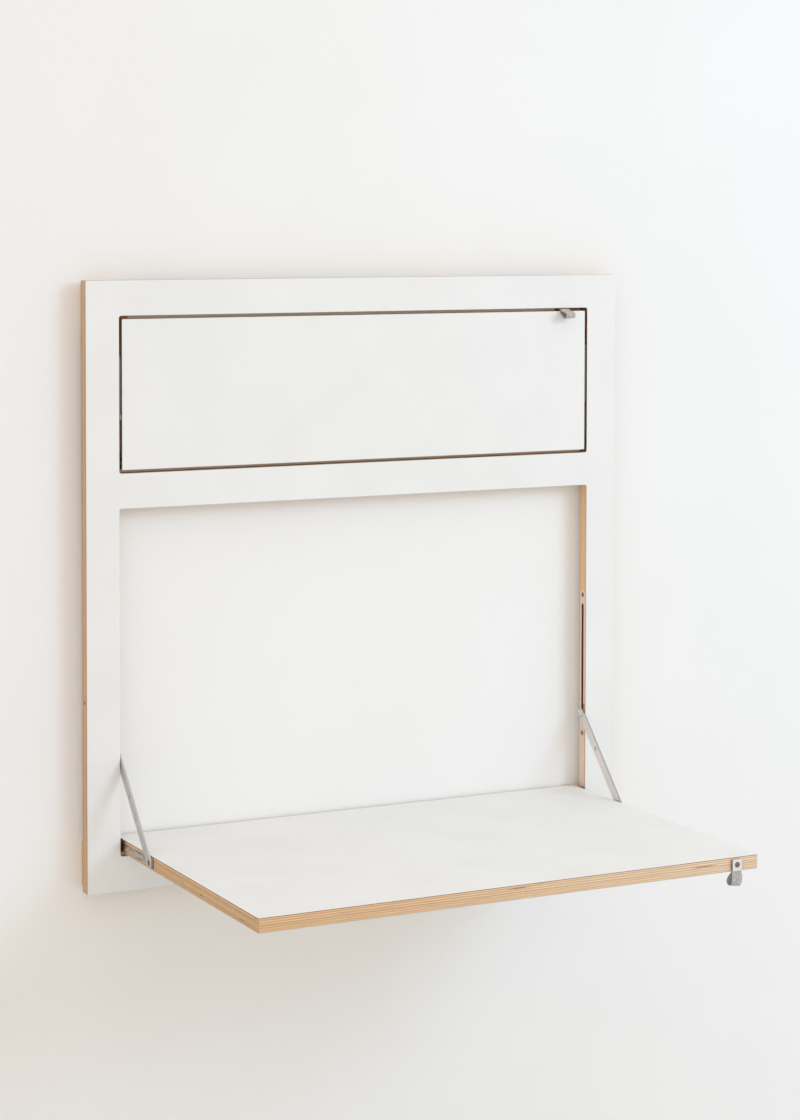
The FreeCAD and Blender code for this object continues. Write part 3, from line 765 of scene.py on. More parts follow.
def slab(spans: Sequence[Range], radius: float = 0.0, along: Axis = Axis.Y,
         steps: int = 5) -> Piece:
    """Board between two values on each axis, with the four edges along one axis rounded.

    Args:
        spans: Its ends along X, Y and Z.
        radius: Radius of the rounded edges, 0 for sharp ones.
        along: The axis that those edges run along.
        steps: Faces round each of them.

    Returns:
        The board.
    """
    middle = [(low + high) / 2.0 for low, high in spans]
    size = [high - low for low, high in spans]
    piece = start(bpy.ops.mesh.primitive_cube_add, size=1.0, location=middle, scale=size)
    if radius > 0.0:
        with editing(piece, Pick.EDGE):
            choose("edges", lambda edge: abs((edge.verts[0].co - edge.verts[1].co)[along.value])
                   > 0.5 * size[along.value])
            bpy.ops.mesh.bevel(offset=radius, segments=steps, affect="EDGES")
    return piece


def tube(span: Range, y: float, z: float, radius: float, far_radius: float | None = None,
         sides: int = 40) -> Piece:
    """Solid round along X, straight or tapered.

    Args:
        span: Its ends along X.
        y: Where its axis lies along Y.
        z: Where its axis lies along Z.
        radius: Its radius, at its low end if it tapers.
        far_radius: The radius at its high end, if it tapers.
        sides: Faces round it.

    Returns:
        The round.
    """
    far = radius if far_radius is None else far_radius
    return start(bpy.ops.mesh.primitive_cone_add, vertices=sides, radius1=radius, radius2=far,
                 depth=span[1] - span[0], location=((span[0] + span[1]) / 2.0, y, z),
                 rotation=(0.0, math.pi / 2.0, 0.0))


def round_bar(span: Range, low: float, high: float, radius: float, y: float = 0.0,
              half_sides: int = 20) -> Piece:
    """Flat bar along Z with round ends, drawn as a circle that is pulled apart and thickened.

    Args:
        span: Its two flats, along X.
        low: Height of the lower end's middle.
        high: Height of the upper end's middle.
        radius: Half its width.
        y: Where its middle lies along Y.
        half_sides: Faces round each end.

    Returns:
        The bar.
    """
    x = span[0]
    piece = start(bpy.ops.mesh.primitive_circle_add, vertices=2 * half_sides, radius=radius,
                  fill_type="NGON", location=(x, y, low), rotation=(0.0, math.pi / 2.0, 0.0))
    with editing(piece, Pick.VERTEX):
        bpy.ops.mesh.select_all(action="SELECT")
        bpy.ops.transform.rotate(value=math.pi / (2 * half_sides), orient_axis="X",
                                 center_override=(x, y, low))
        choose("verts", lambda vertex: vertex.co.z > low)
        bpy.ops.transform.translate(value=(0.0, 0.0, high - low))
        bpy.ops.mesh.select_all(action="SELECT")
        extrude((span[1] - x, 0.0, 0.0))
        face_out()
    return piece


def finish_with(piece: Piece, kind: str, **settings: object) -> Piece:
    """Adds a modifier, sets it and applies it.

    Args:
        piece: The piece.
        kind: The modifier's type.
        settings: The modifier's own settings.

    Returns:
        The same piece.
    """
    modifier = piece.modifiers.new(kind.lower(), kind)
    for key, value in settings.items():
        setattr(modifier, key, value)
    focus(piece)
    bpy.ops.object.modifier_apply(modifier=modifier.name)
    return piece


def cut(piece: Piece, tools: Sequence[Piece]) -> Piece:
    """Cuts tools out of a piece and throws them away.

    Args:
        piece: The piece to cut.
        tools: The shapes to cut out of it.

    Returns:
        The same piece.
    """
    for tool in tools:
        finish_with(piece, "BOOLEAN", operation="DIFFERENCE", solver="EXACT", object=tool)
        bpy.data.objects.remove(tool)
    return piece


def ease(piece: Piece, width: float, steps: int = 2, angle: float = 35.0) -> Piece:
    """Rounds a piece's sharp edges by a width and smooths what is round.

    Args:
        piece: The piece.
        width: Width of the rounding.
        steps: Faces across it.
        angle: The angle in degrees past which an edge is sharp.

    Returns:
        The same piece.
    """
    finish_with(piece, "BEVEL", width=width, segments=steps, limit_method="ANGLE",
                angle_limit=math.radians(angle))
    return smooth(piece, angle)


def smooth(piece: Piece, angle: float = 35.0) -> Piece:
    """Shades a piece smooth where its faces meet at less than an angle, and keeps its flats flat.

    Args:
        piece: The piece.
        angle: That angle, in degrees.

    Returns:
        The same piece.
    """
    focus(piece)
    bpy.ops.object.shade_smooth_by_angle(angle=math.radians(angle))
    return finish_with(piece, "WEIGHTED_NORMAL", keep_sharp=True, weight=100)


def put(piece: Piece, matrix: Matrix) -> Piece:
    """Moves a piece's mesh by a matrix.

    Args:
        piece: The piece.
        matrix: The move.

    Returns:
        The same piece.
    """
    focus(piece)
    piece.matrix_world = matrix
    apply_place()
    return piece


def copy_of(piece: Piece, matrix: Matrix) -> Piece:
    """A copy with its own mesh, moved by a matrix.

    Args:
        piece: The piece to copy.
        matrix: The move of the copy.

    Returns:
        The copy.
    """
    focus(piece)
    bpy.ops.object.duplicate(linked=False)
    return put(bpy.context.object, matrix)


def twin(piece: Piece) -> Piece:
    """The mirror image of a piece on the left side.

    Args:
        piece: The right-hand piece.

    Returns:
        The left-hand piece.
    """
    made = copy_of(piece, Matrix.Diagonal((-1.0, 1.0, 1.0, 1.0)))
    with editing(made):
        face_out()
    return made


def both_hands(piece: Piece) -> tuple[tuple[Side, Piece], ...]:
    """The left-hand twin of a right-hand piece and the piece itself, each after its side."""
    return (Side.LEFT, twin(piece)), (Side.RIGHT, piece)


def joined(pieces: Sequence[Piece]) -> Piece:
    """Several pieces as one.

    Args:
        pieces: The pieces.

    Returns:
        The one piece.
    """
    focus(pieces[0])
    for piece in pieces:
        piece.select_set(True)
    bpy.ops.object.join()
    return bpy.context.object


def settle(piece: Piece, name: str, body: str, finish: Finish, nodes: Sequence[str]) -> Piece:
    """Brings a done piece to metres and gives it its name, body and finish.

    Args:
        piece: The piece, in millimetres.
        name: Its name.
        body: The body that it moves with.
        finish: What it is made of.
        nodes: The solids that it stands for.

    Returns:
        The piece.
    """
    put(piece, Matrix.Diagonal((MM, MM, MM, 1.0)))
    piece.name = name
    piece.data.name = name
    piece.data.materials.clear()
    piece.data.materials.append(finish.material())
    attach(piece, body)
    if nodes:
        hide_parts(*nodes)
    report(piece, nodes)
    return piece


def report(piece: Piece, nodes: Sequence[str]) -> None:
    """Logs a piece's size and how far its box lies from that of the solids it stands for.

    Args:
        piece: The piece, in metres.
        nodes: The solids that it stands for.
    """
    corners = [Vector(corner) for corner in piece.bound_box]
    low = Vector([min(corner[i] for corner in corners) for i in range(3)])
    high = Vector([max(corner[i] for corner in corners) for i in range(3)])
    off = 0.0
    if nodes:
        boxes = [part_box(node) for node in nodes]
        for i in range(3):
            off = max(off, abs(min(box[0][i] for box in boxes) - low[i]),
                      abs(max(box[1][i] for box in boxes) - high[i]))
    log.info("%s: %d faces, %.2f mm off its solids", piece.name, len(piece.data.polygons), off / MM)


def dress(node: str, finish: Finish) -> None:
    """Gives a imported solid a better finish.

    Args:
        node: The solid's name.
        finish: What it is made of.
    """
    for slot in bpy.data.objects[node].material_slots:
        slot.link = "OBJECT"
        slot.material = finish.material()
    log.info("%s: dressed in %s", node, finish.name)


# ---- fasteners -----------------------------------------------------------------------------------
@dataclass(frozen=True)
class Screw:
    """A cross-head screw that faces +X, with its seat at X = 0."""

    length: float = 18.0
    head: Head = Head.COUNTERSUNK
    head_radius: float = 3.6
    head_size: float = 1.8
    shank_radius: float = 1.75
    cross: float = 3.6
    cross_width: float = 0.9
    cross_depth: float = 0.9
    cross_taper: Range = (0.45, 0.7)
    point: float = 3.0
    point_share: float = 0.12
    rim: float = 0.12

    def make(self) -> Piece:
        """Turns the head, draws the shank out of it to a point, and sinks the driver's cross.

        Returns:
            The screw.
        """
        if self.head is Head.COUNTERSUNK:
            span, top = (-self.head_size, 0.0), 0.0
            piece = tube(span, 0.0, 0.0, self.shank_radius, self.head_radius, 28)
        else:
            span, top = (0.0, self.rim), self.head_size
            piece = tube(span, 0.0, 0.0, self.head_radius, sides=28)
            crown(piece, self.head_radius, self.head_size - span[1])
            with editing(piece):
                choose("faces", lambda face: face.normal.x < -0.9)
                bpy.ops.mesh.inset(thickness=self.head_radius - self.shank_radius)
        with editing(piece):
            choose("faces", lambda face: face.normal.x < -0.9
                   and face.calc_center_median().yz.length < 0.01)
            extrude((-(self.length - abs(min(span[0], 0.0)) - self.point), 0.0, 0.0))
            extrude((-self.point, 0.0, 0.0))
            bpy.ops.transform.resize(value=(1.0, self.point_share, self.point_share))
        ease(piece, self.rim, 1)
        arms = []
        for turn in (0.0, 90.0):
            arm = slab(((top - self.cross_depth, top + 1.0), (-self.cross / 2.0, self.cross / 2.0),
                        (-self.cross_width / 2.0, self.cross_width / 2.0)))
            with editing(arm):
                choose("faces", lambda face: face.normal.x < -0.9)
                bpy.ops.transform.resize(value=(1.0, *self.cross_taper))
            arms.append(put(arm, Matrix.Rotation(math.radians(turn), 4, "X")))
        return smooth(cut(piece, arms))


def crown(piece: Piece, radius: float, height: float, rings: int = 6) -> None:
    """Raises the face that looks along +X into a low dome, ring by ring.

    Args:
        piece: The piece, a round along X.
        radius: The face's radius.
        height: The dome's height.
        rings: Steps from its rim to its top.
    """
    with editing(piece):
        choose("faces", lambda face: face.normal.x > 0.9)
        for ring in range(1, rings + 1):
            near = math.radians(88.0 * (ring - 1) / rings)
            far = math.radians(88.0 * ring / rings)
            bpy.ops.mesh.inset(thickness=radius * (math.cos(near) - math.cos(far)))
            bpy.ops.transform.translate(value=(height * (math.sin(far) - math.sin(near)), 0.0, 0.0))


def countersink(x: float, y: float, z: float, screw: Screw, room: float = 0.03) -> Piece:
    """Tool for a countersunk hole that opens towards +X at x.

    Args:
        x: Where the hole opens along X.
        y: Where its axis lies along Y.
        z: Where its axis lies along Z.
        screw: The screw that goes in.
        room: Room round the screw.

    Returns:
        The tool.
    """
    piece = tube((-screw.head_size, 0.6), 0.0, 0.0, screw.shank_radius + room,
                 screw.head_radius + room + 0.6, 40)
    with editing(piece):
        choose("faces", lambda face: face.normal.x < -0.9)
        extrude((-4.0, 0.0, 0.0))
    return put(piece, Matrix.Translation((x, y, z)))


def turned_to(x: float, y: float, z: float, turn: float, axis: str, spin: float) -> Matrix:
    """Place of a screw: spun about its own axis, turned from facing +X, then moved."""
    spun = Matrix.Rotation(math.radians(spin), 4, "X")
    return Matrix.Translation((x, y, z)) @ Matrix.Rotation(math.radians(turn), 4, axis) @ spun


def screw_set(model: Piece, places: Sequence[Matrix]) -> Piece:
    """Copies of one screw in several places, as one piece. The model goes.

    Args:
        model: The screw at the origin.
        places: Where the copies go.

    Returns:
        The copies.
    """
    copies = [copy_of(model, place) for place in places]
    bpy.data.objects.remove(model)
    return joined(copies)


# ---- laminate sheets -----------------------------------------------------------------------------
@dataclass(frozen=True)
class Skin:
    """A laminate sheet on a board, with its outer edges eased by hand."""

    spans: tuple[Range, Range, Range]
    axis: Axis
    outer: float
    corner: float = 1.5
    inner_corner: float = 3.0
    openings: tuple[Range, ...] = ()
    rebate: Range | None = None
    ease_width: float = 0.3

    def make(self) -> Piece:
        """Cuts the sheet and eases the edges of its outer face.

        Returns:
            The sheet.
        """
        piece = slab(self.spans, self.corner, self.axis)
        low, high = self.spans[1]
        through = ((-BOARD.half_opening, BOARD.half_opening), (low - 1.0, high + 1.0))
        holes = [slab((*through, span), self.inner_corner) for span in self.openings]
        if self.rebate is not None:
            holes.append(slab((*through, self.rebate)))
        cut(piece, holes)
        place = self.axis.value
        with editing(piece, Pick.EDGE):
            choose("edges", lambda edge: all(abs(vertex.co[place] - self.outer) < 0.01
                                             for vertex in edge.verts)
                   and edge.calc_face_angle(0.0) > 0.5)
            bpy.ops.mesh.bevel(offset=self.ease_width, segments=2, affect="EDGES")
        return smooth(piece)


# ---- wall frame ----------------------------------------------------------------------------------
FRAME_FLAWS_AND_SHADE = (
    # Painted shade on the stile edges in the flap's side gaps.
    *(Flaw((side * BOARD.half_opening, BOARD.middle, 251.0), (2.0, 40.0, 150.0), 0.85, 0.03)
      for side in SIDES),
    # Marks of the wood on the frame's left outer edge.
    Flaw((-400.0, -21.0, -149.0), (3.0, 2.6, 3.4), 0.9),
    Flaw((-400.0, -16.0, 118.0), (3.0, 1.2, 9.0), 0.5),
    Flaw((-400.0, -25.0, -302.0), (3.0, 1.0, 12.0), 0.45),
)


@dataclass(frozen=True)
class WallFrame:
    """The frame with its two openings, and the blocks and keyhole plates that hang it."""

    unmilled: float = 1.9
    keyhole_x: float = 377.0
    keyhole_z: Range = (-370.0, 370.0)
    keyhole_rise: float = 9.0
    entry_radius: float = 4.5
    slot_radius: float = 2.25
    plate_width: float = 16.0
    plate_height: float = 50.0
    plate_thickness: float = 1.5
    plate_screw_margin: float = 6.0
    block_screw_x: float = 363.0
    block_screws: tuple[float, ...] = (343.0, 387.0, -387.0, -343.0)

    def build(self) -> None:
        """Makes the skins and the hangers and dresses the plywood."""
        whole_x = (-BOARD.half_width, BOARD.half_width)
        whole_z = (-BOARD.half_height, BOARD.half_height)
        openings = (DESK.opening, FLAP.opening)
        front = Skin((whole_x, (BOARD.front, BOARD.front + BOARD.skin), whole_z), Axis.Y,
                     BOARD.front, openings=openings)
        back = Skin((whole_x, (BOARD.back - BOARD.skin, BOARD.back), whole_z), Axis.Y,
                    BOARD.back, openings=openings,
                    rebate=(DESK.rebate_floor, DESK.opening[0] + 3.0))
        settle(front.make(), "frame_front_skin", "frame",
               Laminate("frame_front_laminate", "white_laminate", Axis.Y, BOARD.front),
               ["frame_front_laminate"])
        settle(back.make(), "frame_back_skin", "frame",
               Laminate("frame_back_laminate", "white_laminate", Axis.Y, BOARD.back),
               ["frame_back_laminate"])
        # The frame's ply carries painted light: darker and warmer on the left, paler to the right,
        # with painted shade on its left end's edges and in the rail pockets.
        ply = BirchPly("frame_plywood", "birch_plywood", Axis.Y, BOARD.front + BOARD.skin,
                       BOARD.core, seed=3.0, milled=BOARD.half_opening + self.unmilled,
                       tint=(0.9, 0.82, 0.78, 1.0), far_light_tint=(1.08, 1.0, 0.93, 1.0),
                       banding=(0.1, 0.2), flaws_and_shade=FRAME_FLAWS_AND_SHADE)
        dress("frame_core", ply)
        block_ply = BirchPly("block_plywood", "birch_plywood", Axis.Y, BOARD.back, -BOARD.back,
                             plies=7, seed=11.0)
        dress("upper_hanger_blocks", block_ply)
        dress("lower_hanger_blocks", block_ply)
        self.build_hangers()

    def build_hangers(self) -> None:
        """Makes the keyhole plates and all the screws that face the wall."""
        small = Screw(length=8.0)
        half_width, half_height = self.plate_width / 2.0, self.plate_height / 2.0
        model = slab(((-half_width, half_width), (-self.plate_thickness, 0.0),
                      (-half_height, half_height)), 1.2, Axis.Y, 3)
        entry_z = -self.keyhole_rise / 2.0
        quarter = Matrix.Rotation(math.radians(90.0), 4, "Z")
        through = (-5.0, 5.0)
        tools = [put(tube(through, 0.0, entry_z, self.entry_radius), quarter),
                 put(round_bar(through, entry_z, entry_z + self.keyhole_rise, self.slot_radius),
                     quarter)]
        screw_z = half_height - self.plate_screw_margin
        for z in (-screw_z, screw_z):
            sink = countersink(0.0, 0.0, 0.0, small)
            tools.append(put(sink, Matrix.Translation((0.0, 0.0, z)) @ quarter))
        ease(cut(model, tools), 0.12)
        plates, plate_screws = [], []
        for side in SIDES:
            for z in self.keyhole_z:
                middle = z + self.keyhole_rise / 2.0
                x = side * self.keyhole_x
                plates.append(copy_of(model, Matrix.Translation((x, 0.0, middle))))
                for end in (-screw_z, screw_z):
                    plate_screws.append(turned_to(x, 0.0, middle + end, 90.0, "Z",
                                                  17.0 * len(plate_screws)))
        bpy.data.objects.remove(model)
        settle(joined(plates), "keyhole_plates", "frame", ZINC, ["hanger_plates"])
        settle(screw_set(small.make(), plate_screws), "keyhole_plate_screws", "frame", SCREW,
               ["hanger_plate_screws"])
        block_screws = [turned_to(side * self.block_screw_x, 0.0, z, 90.0, "Z", 23.0 * z)
                        for side in SIDES for z in self.block_screws]
        settle(screw_set(Screw(length=22.0).make(), block_screws), "block_screws", "frame", SCREW,
               ["hanger_block_screws"])


# ---- stays ---------------------------------------------------------------------------------------
@dataclass(frozen=True)
class Stay:
    """Struts, slotted rails, side plates and their screws, for one panel."""

    fold: Fold
    strut_x: Range = (351.5, 353.5)
    strut_radius: float = 7.0
    plate_radius: float = 6.0
    metal: float = 2.0
    slot_radius: float = 2.6
    pin_radius: float = 3.0
    rivet_radius: float = 2.5
    rivet_head: float = 3.85
    rivet_cone: float = 1.25
    dome_radius: float = 5.0
    dome_height: float = 0.8
    dimple_share: float = 0.38
    dimple_radius: float = 3.0
    dimple_depth: float = 0.6
    rail_margin: float = 7.0
    hinge_margin: float = 8.0
    pivot_margin: float = 4.0
    pad_radius: float = 3.0
    pad_height: float = 0.8
    edge_ease: float = 0.18
    whole_width: float = 800.0
    bore_room: float = 0.05

    def build(self) -> None:
        """Makes every steel piece of both stays and dresses the rest."""
        self.build_struts()
        self.build_rails()
        self.build_plates()
        name = self.fold.name
        for node, finish in (("hinge_pins", ZINC), ("hinge_washers", DARK_WASHER),
                             ("pivot_rivets", RIVET), ("pivot_washers", NYLON),
                             ("slider_left", ZINC), ("slider_right", ZINC)):
            dress(f"{name}_{node}", finish)

    def strut_steel(self, side: Side) -> Metal:
        """Steel brushed along the strut, with painted light and shade: brighter on the right,
        darker on the flap in the shade of its gaps.

        Args:
            side: The side of the object.

        Returns:
            The finish.
        """
        # Lit and shaded copies of one steel: the flap's struts painted darker as in shade, the
        # right strut painted brighter, all edges painted darker.
        if not self.fold.padded:
            light, dark, edge = tone(192, 184, 176), tone(166, 157, 149), tone(116, 106, 98)
        elif side is Side.LEFT:
            light, dark, edge = tone(210, 207, 203), tone(186, 182, 178), tone(206, 203, 199)
        else:
            light, dark, edge = tone(238, 232, 230), tone(220, 214, 211), tone(168, 162, 158)
        upright = self.fold.on_pivot()
        top = upright @ Vector((0.0, 0.0, self.fold.strut_length))
        pressed = upright @ Vector((0.0, 0.0, self.fold.strut_length * (1.0 - self.dimple_share)))
        # Painted shadow round the strut's upper end and painted shade round the pressed dimple.
        painted_shade = (Flaw((0.0, top.y, top.z), (self.whole_width, 9.0, 9.0), 0.85, 0.05),
                 Flaw((0.0, pressed.y, pressed.z), (self.whole_width, 4.0, 4.0), 0.38, 0.05))
        return Metal(f"{self.fold.name}_strut_steel_{side.value}", "stainless_steel", light, dark,
                     (2.5, 5.0, 0.045), -self.fold.lean, (0.34, 0.46), edge=edge, painted_shade=painted_shade)

    def rail_steel(self) -> Metal:
        """Steel brushed along the rail, tinted warm as a painted reflection, with painted shade at
        the hinge and a painted shadow at the slot's lower end.

        Returns:
            The finish.
        """
        fold, y = self.fold, BOARD.middle
        # Painted shade at the hinge, and a painted shadow of the strut's end at the slot's lower
        # end.
        painted_shade = (Flaw((0.0, y, fold.hinge_z - 6.0), (self.whole_width, 22.0, 20.0), 1.0, 0.12),
                 Flaw((0.0, y - 5.0, fold.slot[0] + 11.0), (self.whole_width, 4.5, 5.0), 0.8, 0.2))
        # The warm pink tone is partly the steel and partly a painted reflection of the wood round
        # it.
        return Metal(f"{fold.name}_rail_steel", "stainless_steel", tone(244, 226, 214),
                     tone(231, 211, 199), (2.0, 6.0, 0.05), painted_shade=painted_shade)

    def plate_steel(self) -> Metal:
        """Steel brushed along the plate, with painted shade near the hinge and round the pad.

        Returns:
            The finish.
        """
        fold = self.fold
        hinge = fold.on_hinge()
        near = hinge @ Vector((0.0, 0.0, 0.0))
        # Painted shade near the hinge, and a painted dark outline round the raised pad.
        painted_shade = [Flaw((0.0, near.y, near.z), (self.whole_width, 25.0, 25.0), 1.0, 0.1)]
        if fold.padded:
            middle = hinge @ Vector((0.0, sum(self.pad_span) / 2.0, 0.0))
            half_length = (self.pad_span[1] - self.pad_span[0]) / 2.0
            reach = (self.whole_width, half_length * 1.6, self.pad_radius * 2.4)
            painted_shade.append(Flaw((0.0, middle.y, middle.z), reach, 0.9, 0.1))
        return Metal(f"{fold.name}_plate_steel", "stainless_steel", tone(204, 192, 174),
                     tone(187, 174, 156), (2.0, 0.05, 6.0), painted_shade=tuple(painted_shade))

    @property
    def pad_span(self) -> Range:
        """The pad's ends, as distances from the hinge axis."""
        near, far = self.fold.plate_screws
        return near + 21.0, far - 11.0

    def build_struts(self) -> None:
        """Struts with a pressed dimple, and the domed rivets at their upper ends."""
        fold, inner, outer = self.fold, self.strut_x[0], self.strut_x[1]
        bar = round_bar(self.strut_x, 0.0, fold.strut_length, self.strut_radius)
        bore = self.rivet_radius + self.bore_room
        through = (inner - 1.0, outer + 1.0)
        hole = tube(through, 0.0, 0.0, bore)
        sink = tube((outer - self.rivet_cone, outer + 0.01), 0.0, 0.0, bore, self.rivet_head)
        top_hole = tube(through, 0.0, fold.strut_length, self.rivet_radius)
        dimple_z = fold.strut_length * (1.0 - self.dimple_share)
        dimple = tube((inner - 0.2, inner + self.dimple_depth), 0.0, dimple_z,
                      self.dimple_radius + 0.2, self.dimple_radius - self.dimple_depth, 36)
        with editing(dimple):
            choose("faces", lambda face: face.normal.x > 0.9)
            bpy.ops.mesh.inset(thickness=0.5)
            bpy.ops.mesh.inset(thickness=0.45)
            bpy.ops.transform.translate(value=(-0.75 * self.dimple_depth, 0.0, 0.0))
        ease(cut(bar, [hole, sink, top_hole, dimple]), self.edge_ease)
        rivet = tube((0.0, 0.1), 0.0, 0.0, self.dome_radius, sides=36)
        crown(rivet, self.dome_radius, self.dome_height - 0.1)
        with editing(rivet):
            choose("faces", lambda face: face.normal.x < -0.9)
            bpy.ops.mesh.inset(thickness=self.dome_radius - self.rivet_radius)
            extrude((-(outer - inner), 0.0, 0.0))
        smooth(rivet)
        put(rivet, Matrix.Translation((inner, 0.0, fold.strut_length))
            @ Matrix.Rotation(math.pi, 4, "Z"))
        for piece, part in ((bar, "strut"), (rivet, "strut_rivet")):
            put(piece, fold.on_pivot())
            for side, made in both_hands(piece):
                finish = self.strut_steel(side) if piece is bar else DOME
                settle(made, f"{fold.name}_{part}_piece_{side.value}",
                       f"{fold.name}_strut_{side.value}", finish,
                       [f"{fold.name}_{part}_{side.value}"])

    def build_rails(self) -> None:
        """Slotted rails let into the stiles, and their screws."""
        fold, x = self.fold, BOARD.half_opening
        y, screw = BOARD.middle, Screw(cross=4.4, cross_width=1.3, cross_depth=1.3)
        rail = round_bar((x, x + self.metal), fold.hinge_z - self.hinge_margin + self.plate_radius,
                         fold.rail_screws[1] + self.rail_margin - self.plate_radius,
                         self.plate_radius, y)
        through = (x - 1.0, x + 4.0)
        tools = [round_bar(through, fold.slot[0], fold.slot[1], self.slot_radius, y),
                 tube(through, y, fold.hinge_z, self.pin_radius)]
        half_turn = Matrix.Rotation(math.pi, 4, "Z")
        for z in fold.rail_screws:
            sink = countersink(0.0, 0.0, 0.0, screw)
            tools.append(put(sink, Matrix.Translation((x, y, z)) @ half_turn))
        ease(cut(rail, tools), self.edge_ease)
        for side, made in both_hands(rail):
            settle(made, f"{fold.name}_slotted_rail_{side.value}", "frame", self.rail_steel(),
                   [f"{fold.name}_rail_{side.value}"])
        places = []
        for turn, place in ((180.0, x), (0.0, -x)):
            for z in fold.rail_screws:
                places.append(turned_to(place, y, z, turn, "Z", 29.0 * len(places) + 12.0))
        settle(screw_set(screw.make(), places), f"{fold.name}_stile_screws", "frame", STILE_SCREW,
               [f"{fold.name}_rail_screws"])

    def build_plates(self) -> None:
        """Side plates let into the panel's edges, and their screws."""
        fold, x = self.fold, BOARD.half_panel
        screw = Screw()
        low = self.plate_radius - self.hinge_margin
        plate = round_bar((x - self.metal, x), low,
                          fold.crank + self.pivot_margin - self.plate_radius, self.plate_radius)
        through = (x - 4.0, x + 1.0)
        tools = [tube(through, 0.0, 0.0, self.pin_radius + self.bore_room),
                 tube(through, 0.0, fold.crank, self.rivet_radius)]
        for distance in fold.plate_screws:
            tools.append(countersink(x, 0.0, distance, screw))
        ease(cut(plate, tools), self.edge_ease)
        upright = fold.on_hinge() @ Matrix.Rotation(math.radians(-90.0), 4, "X")
        put(plate, upright)
        for side, made in both_hands(plate):
            settle(made, f"{fold.name}_edge_plate_{side.value}", fold.name, self.plate_steel(),
                   [f"{fold.name}_side_plate_{side.value}"])
        if fold.padded:
            pad = slab(((x - 0.4, x + self.pad_height), (-self.pad_radius, self.pad_radius),
                        self.pad_span), 1.0, Axis.X, 4)
            put(ease(pad, 0.3), upright)
            for side, made in both_hands(pad):
                settle(made, f"{fold.name}_plate_pad_{side.value}", fold.name, PAD, [])
        places = []
        for turn, place in ((0.0, x), (180.0, -x)):
            for distance in fold.plate_screws:
                local = turned_to(place, distance, 0.0, turn, "Z", 31.0 * len(places) + 8.0)
                places.append(fold.on_hinge() @ local)
        settle(screw_set(screw.make(), places), f"{fold.name}_edge_screws", fold.name, EDGE_SCREW,
               [f"{fold.name}_side_plate_screws"])


# ---- pull straps ---------------------------------------------------------------------------------
def smooth_path(points: Sequence[Vector], steps: int) -> list[Vector]:
    """Points on a smooth line through the given points, with some steps between each two.

    Args:
        points: The given points.
        steps: Steps from each to the next.

    Returns:
        The line's points.
    """
    path = []
    for i in range(len(points) - 1):
        before, here = points[max(i - 1, 0)], points[i]
        there, after = points[i + 1], points[min(i + 2, len(points) - 1)]
        for step in range(steps):
            t = step / steps
            path.append(0.5 * (2.0 * here + (there - before) * t
                               + (2.0 * before - 5.0 * here + 4.0 * there - after) * t ** 2
                               + (3.0 * here - before - 3.0 * there + after) * t ** 3))
    return path + [points[-1]]


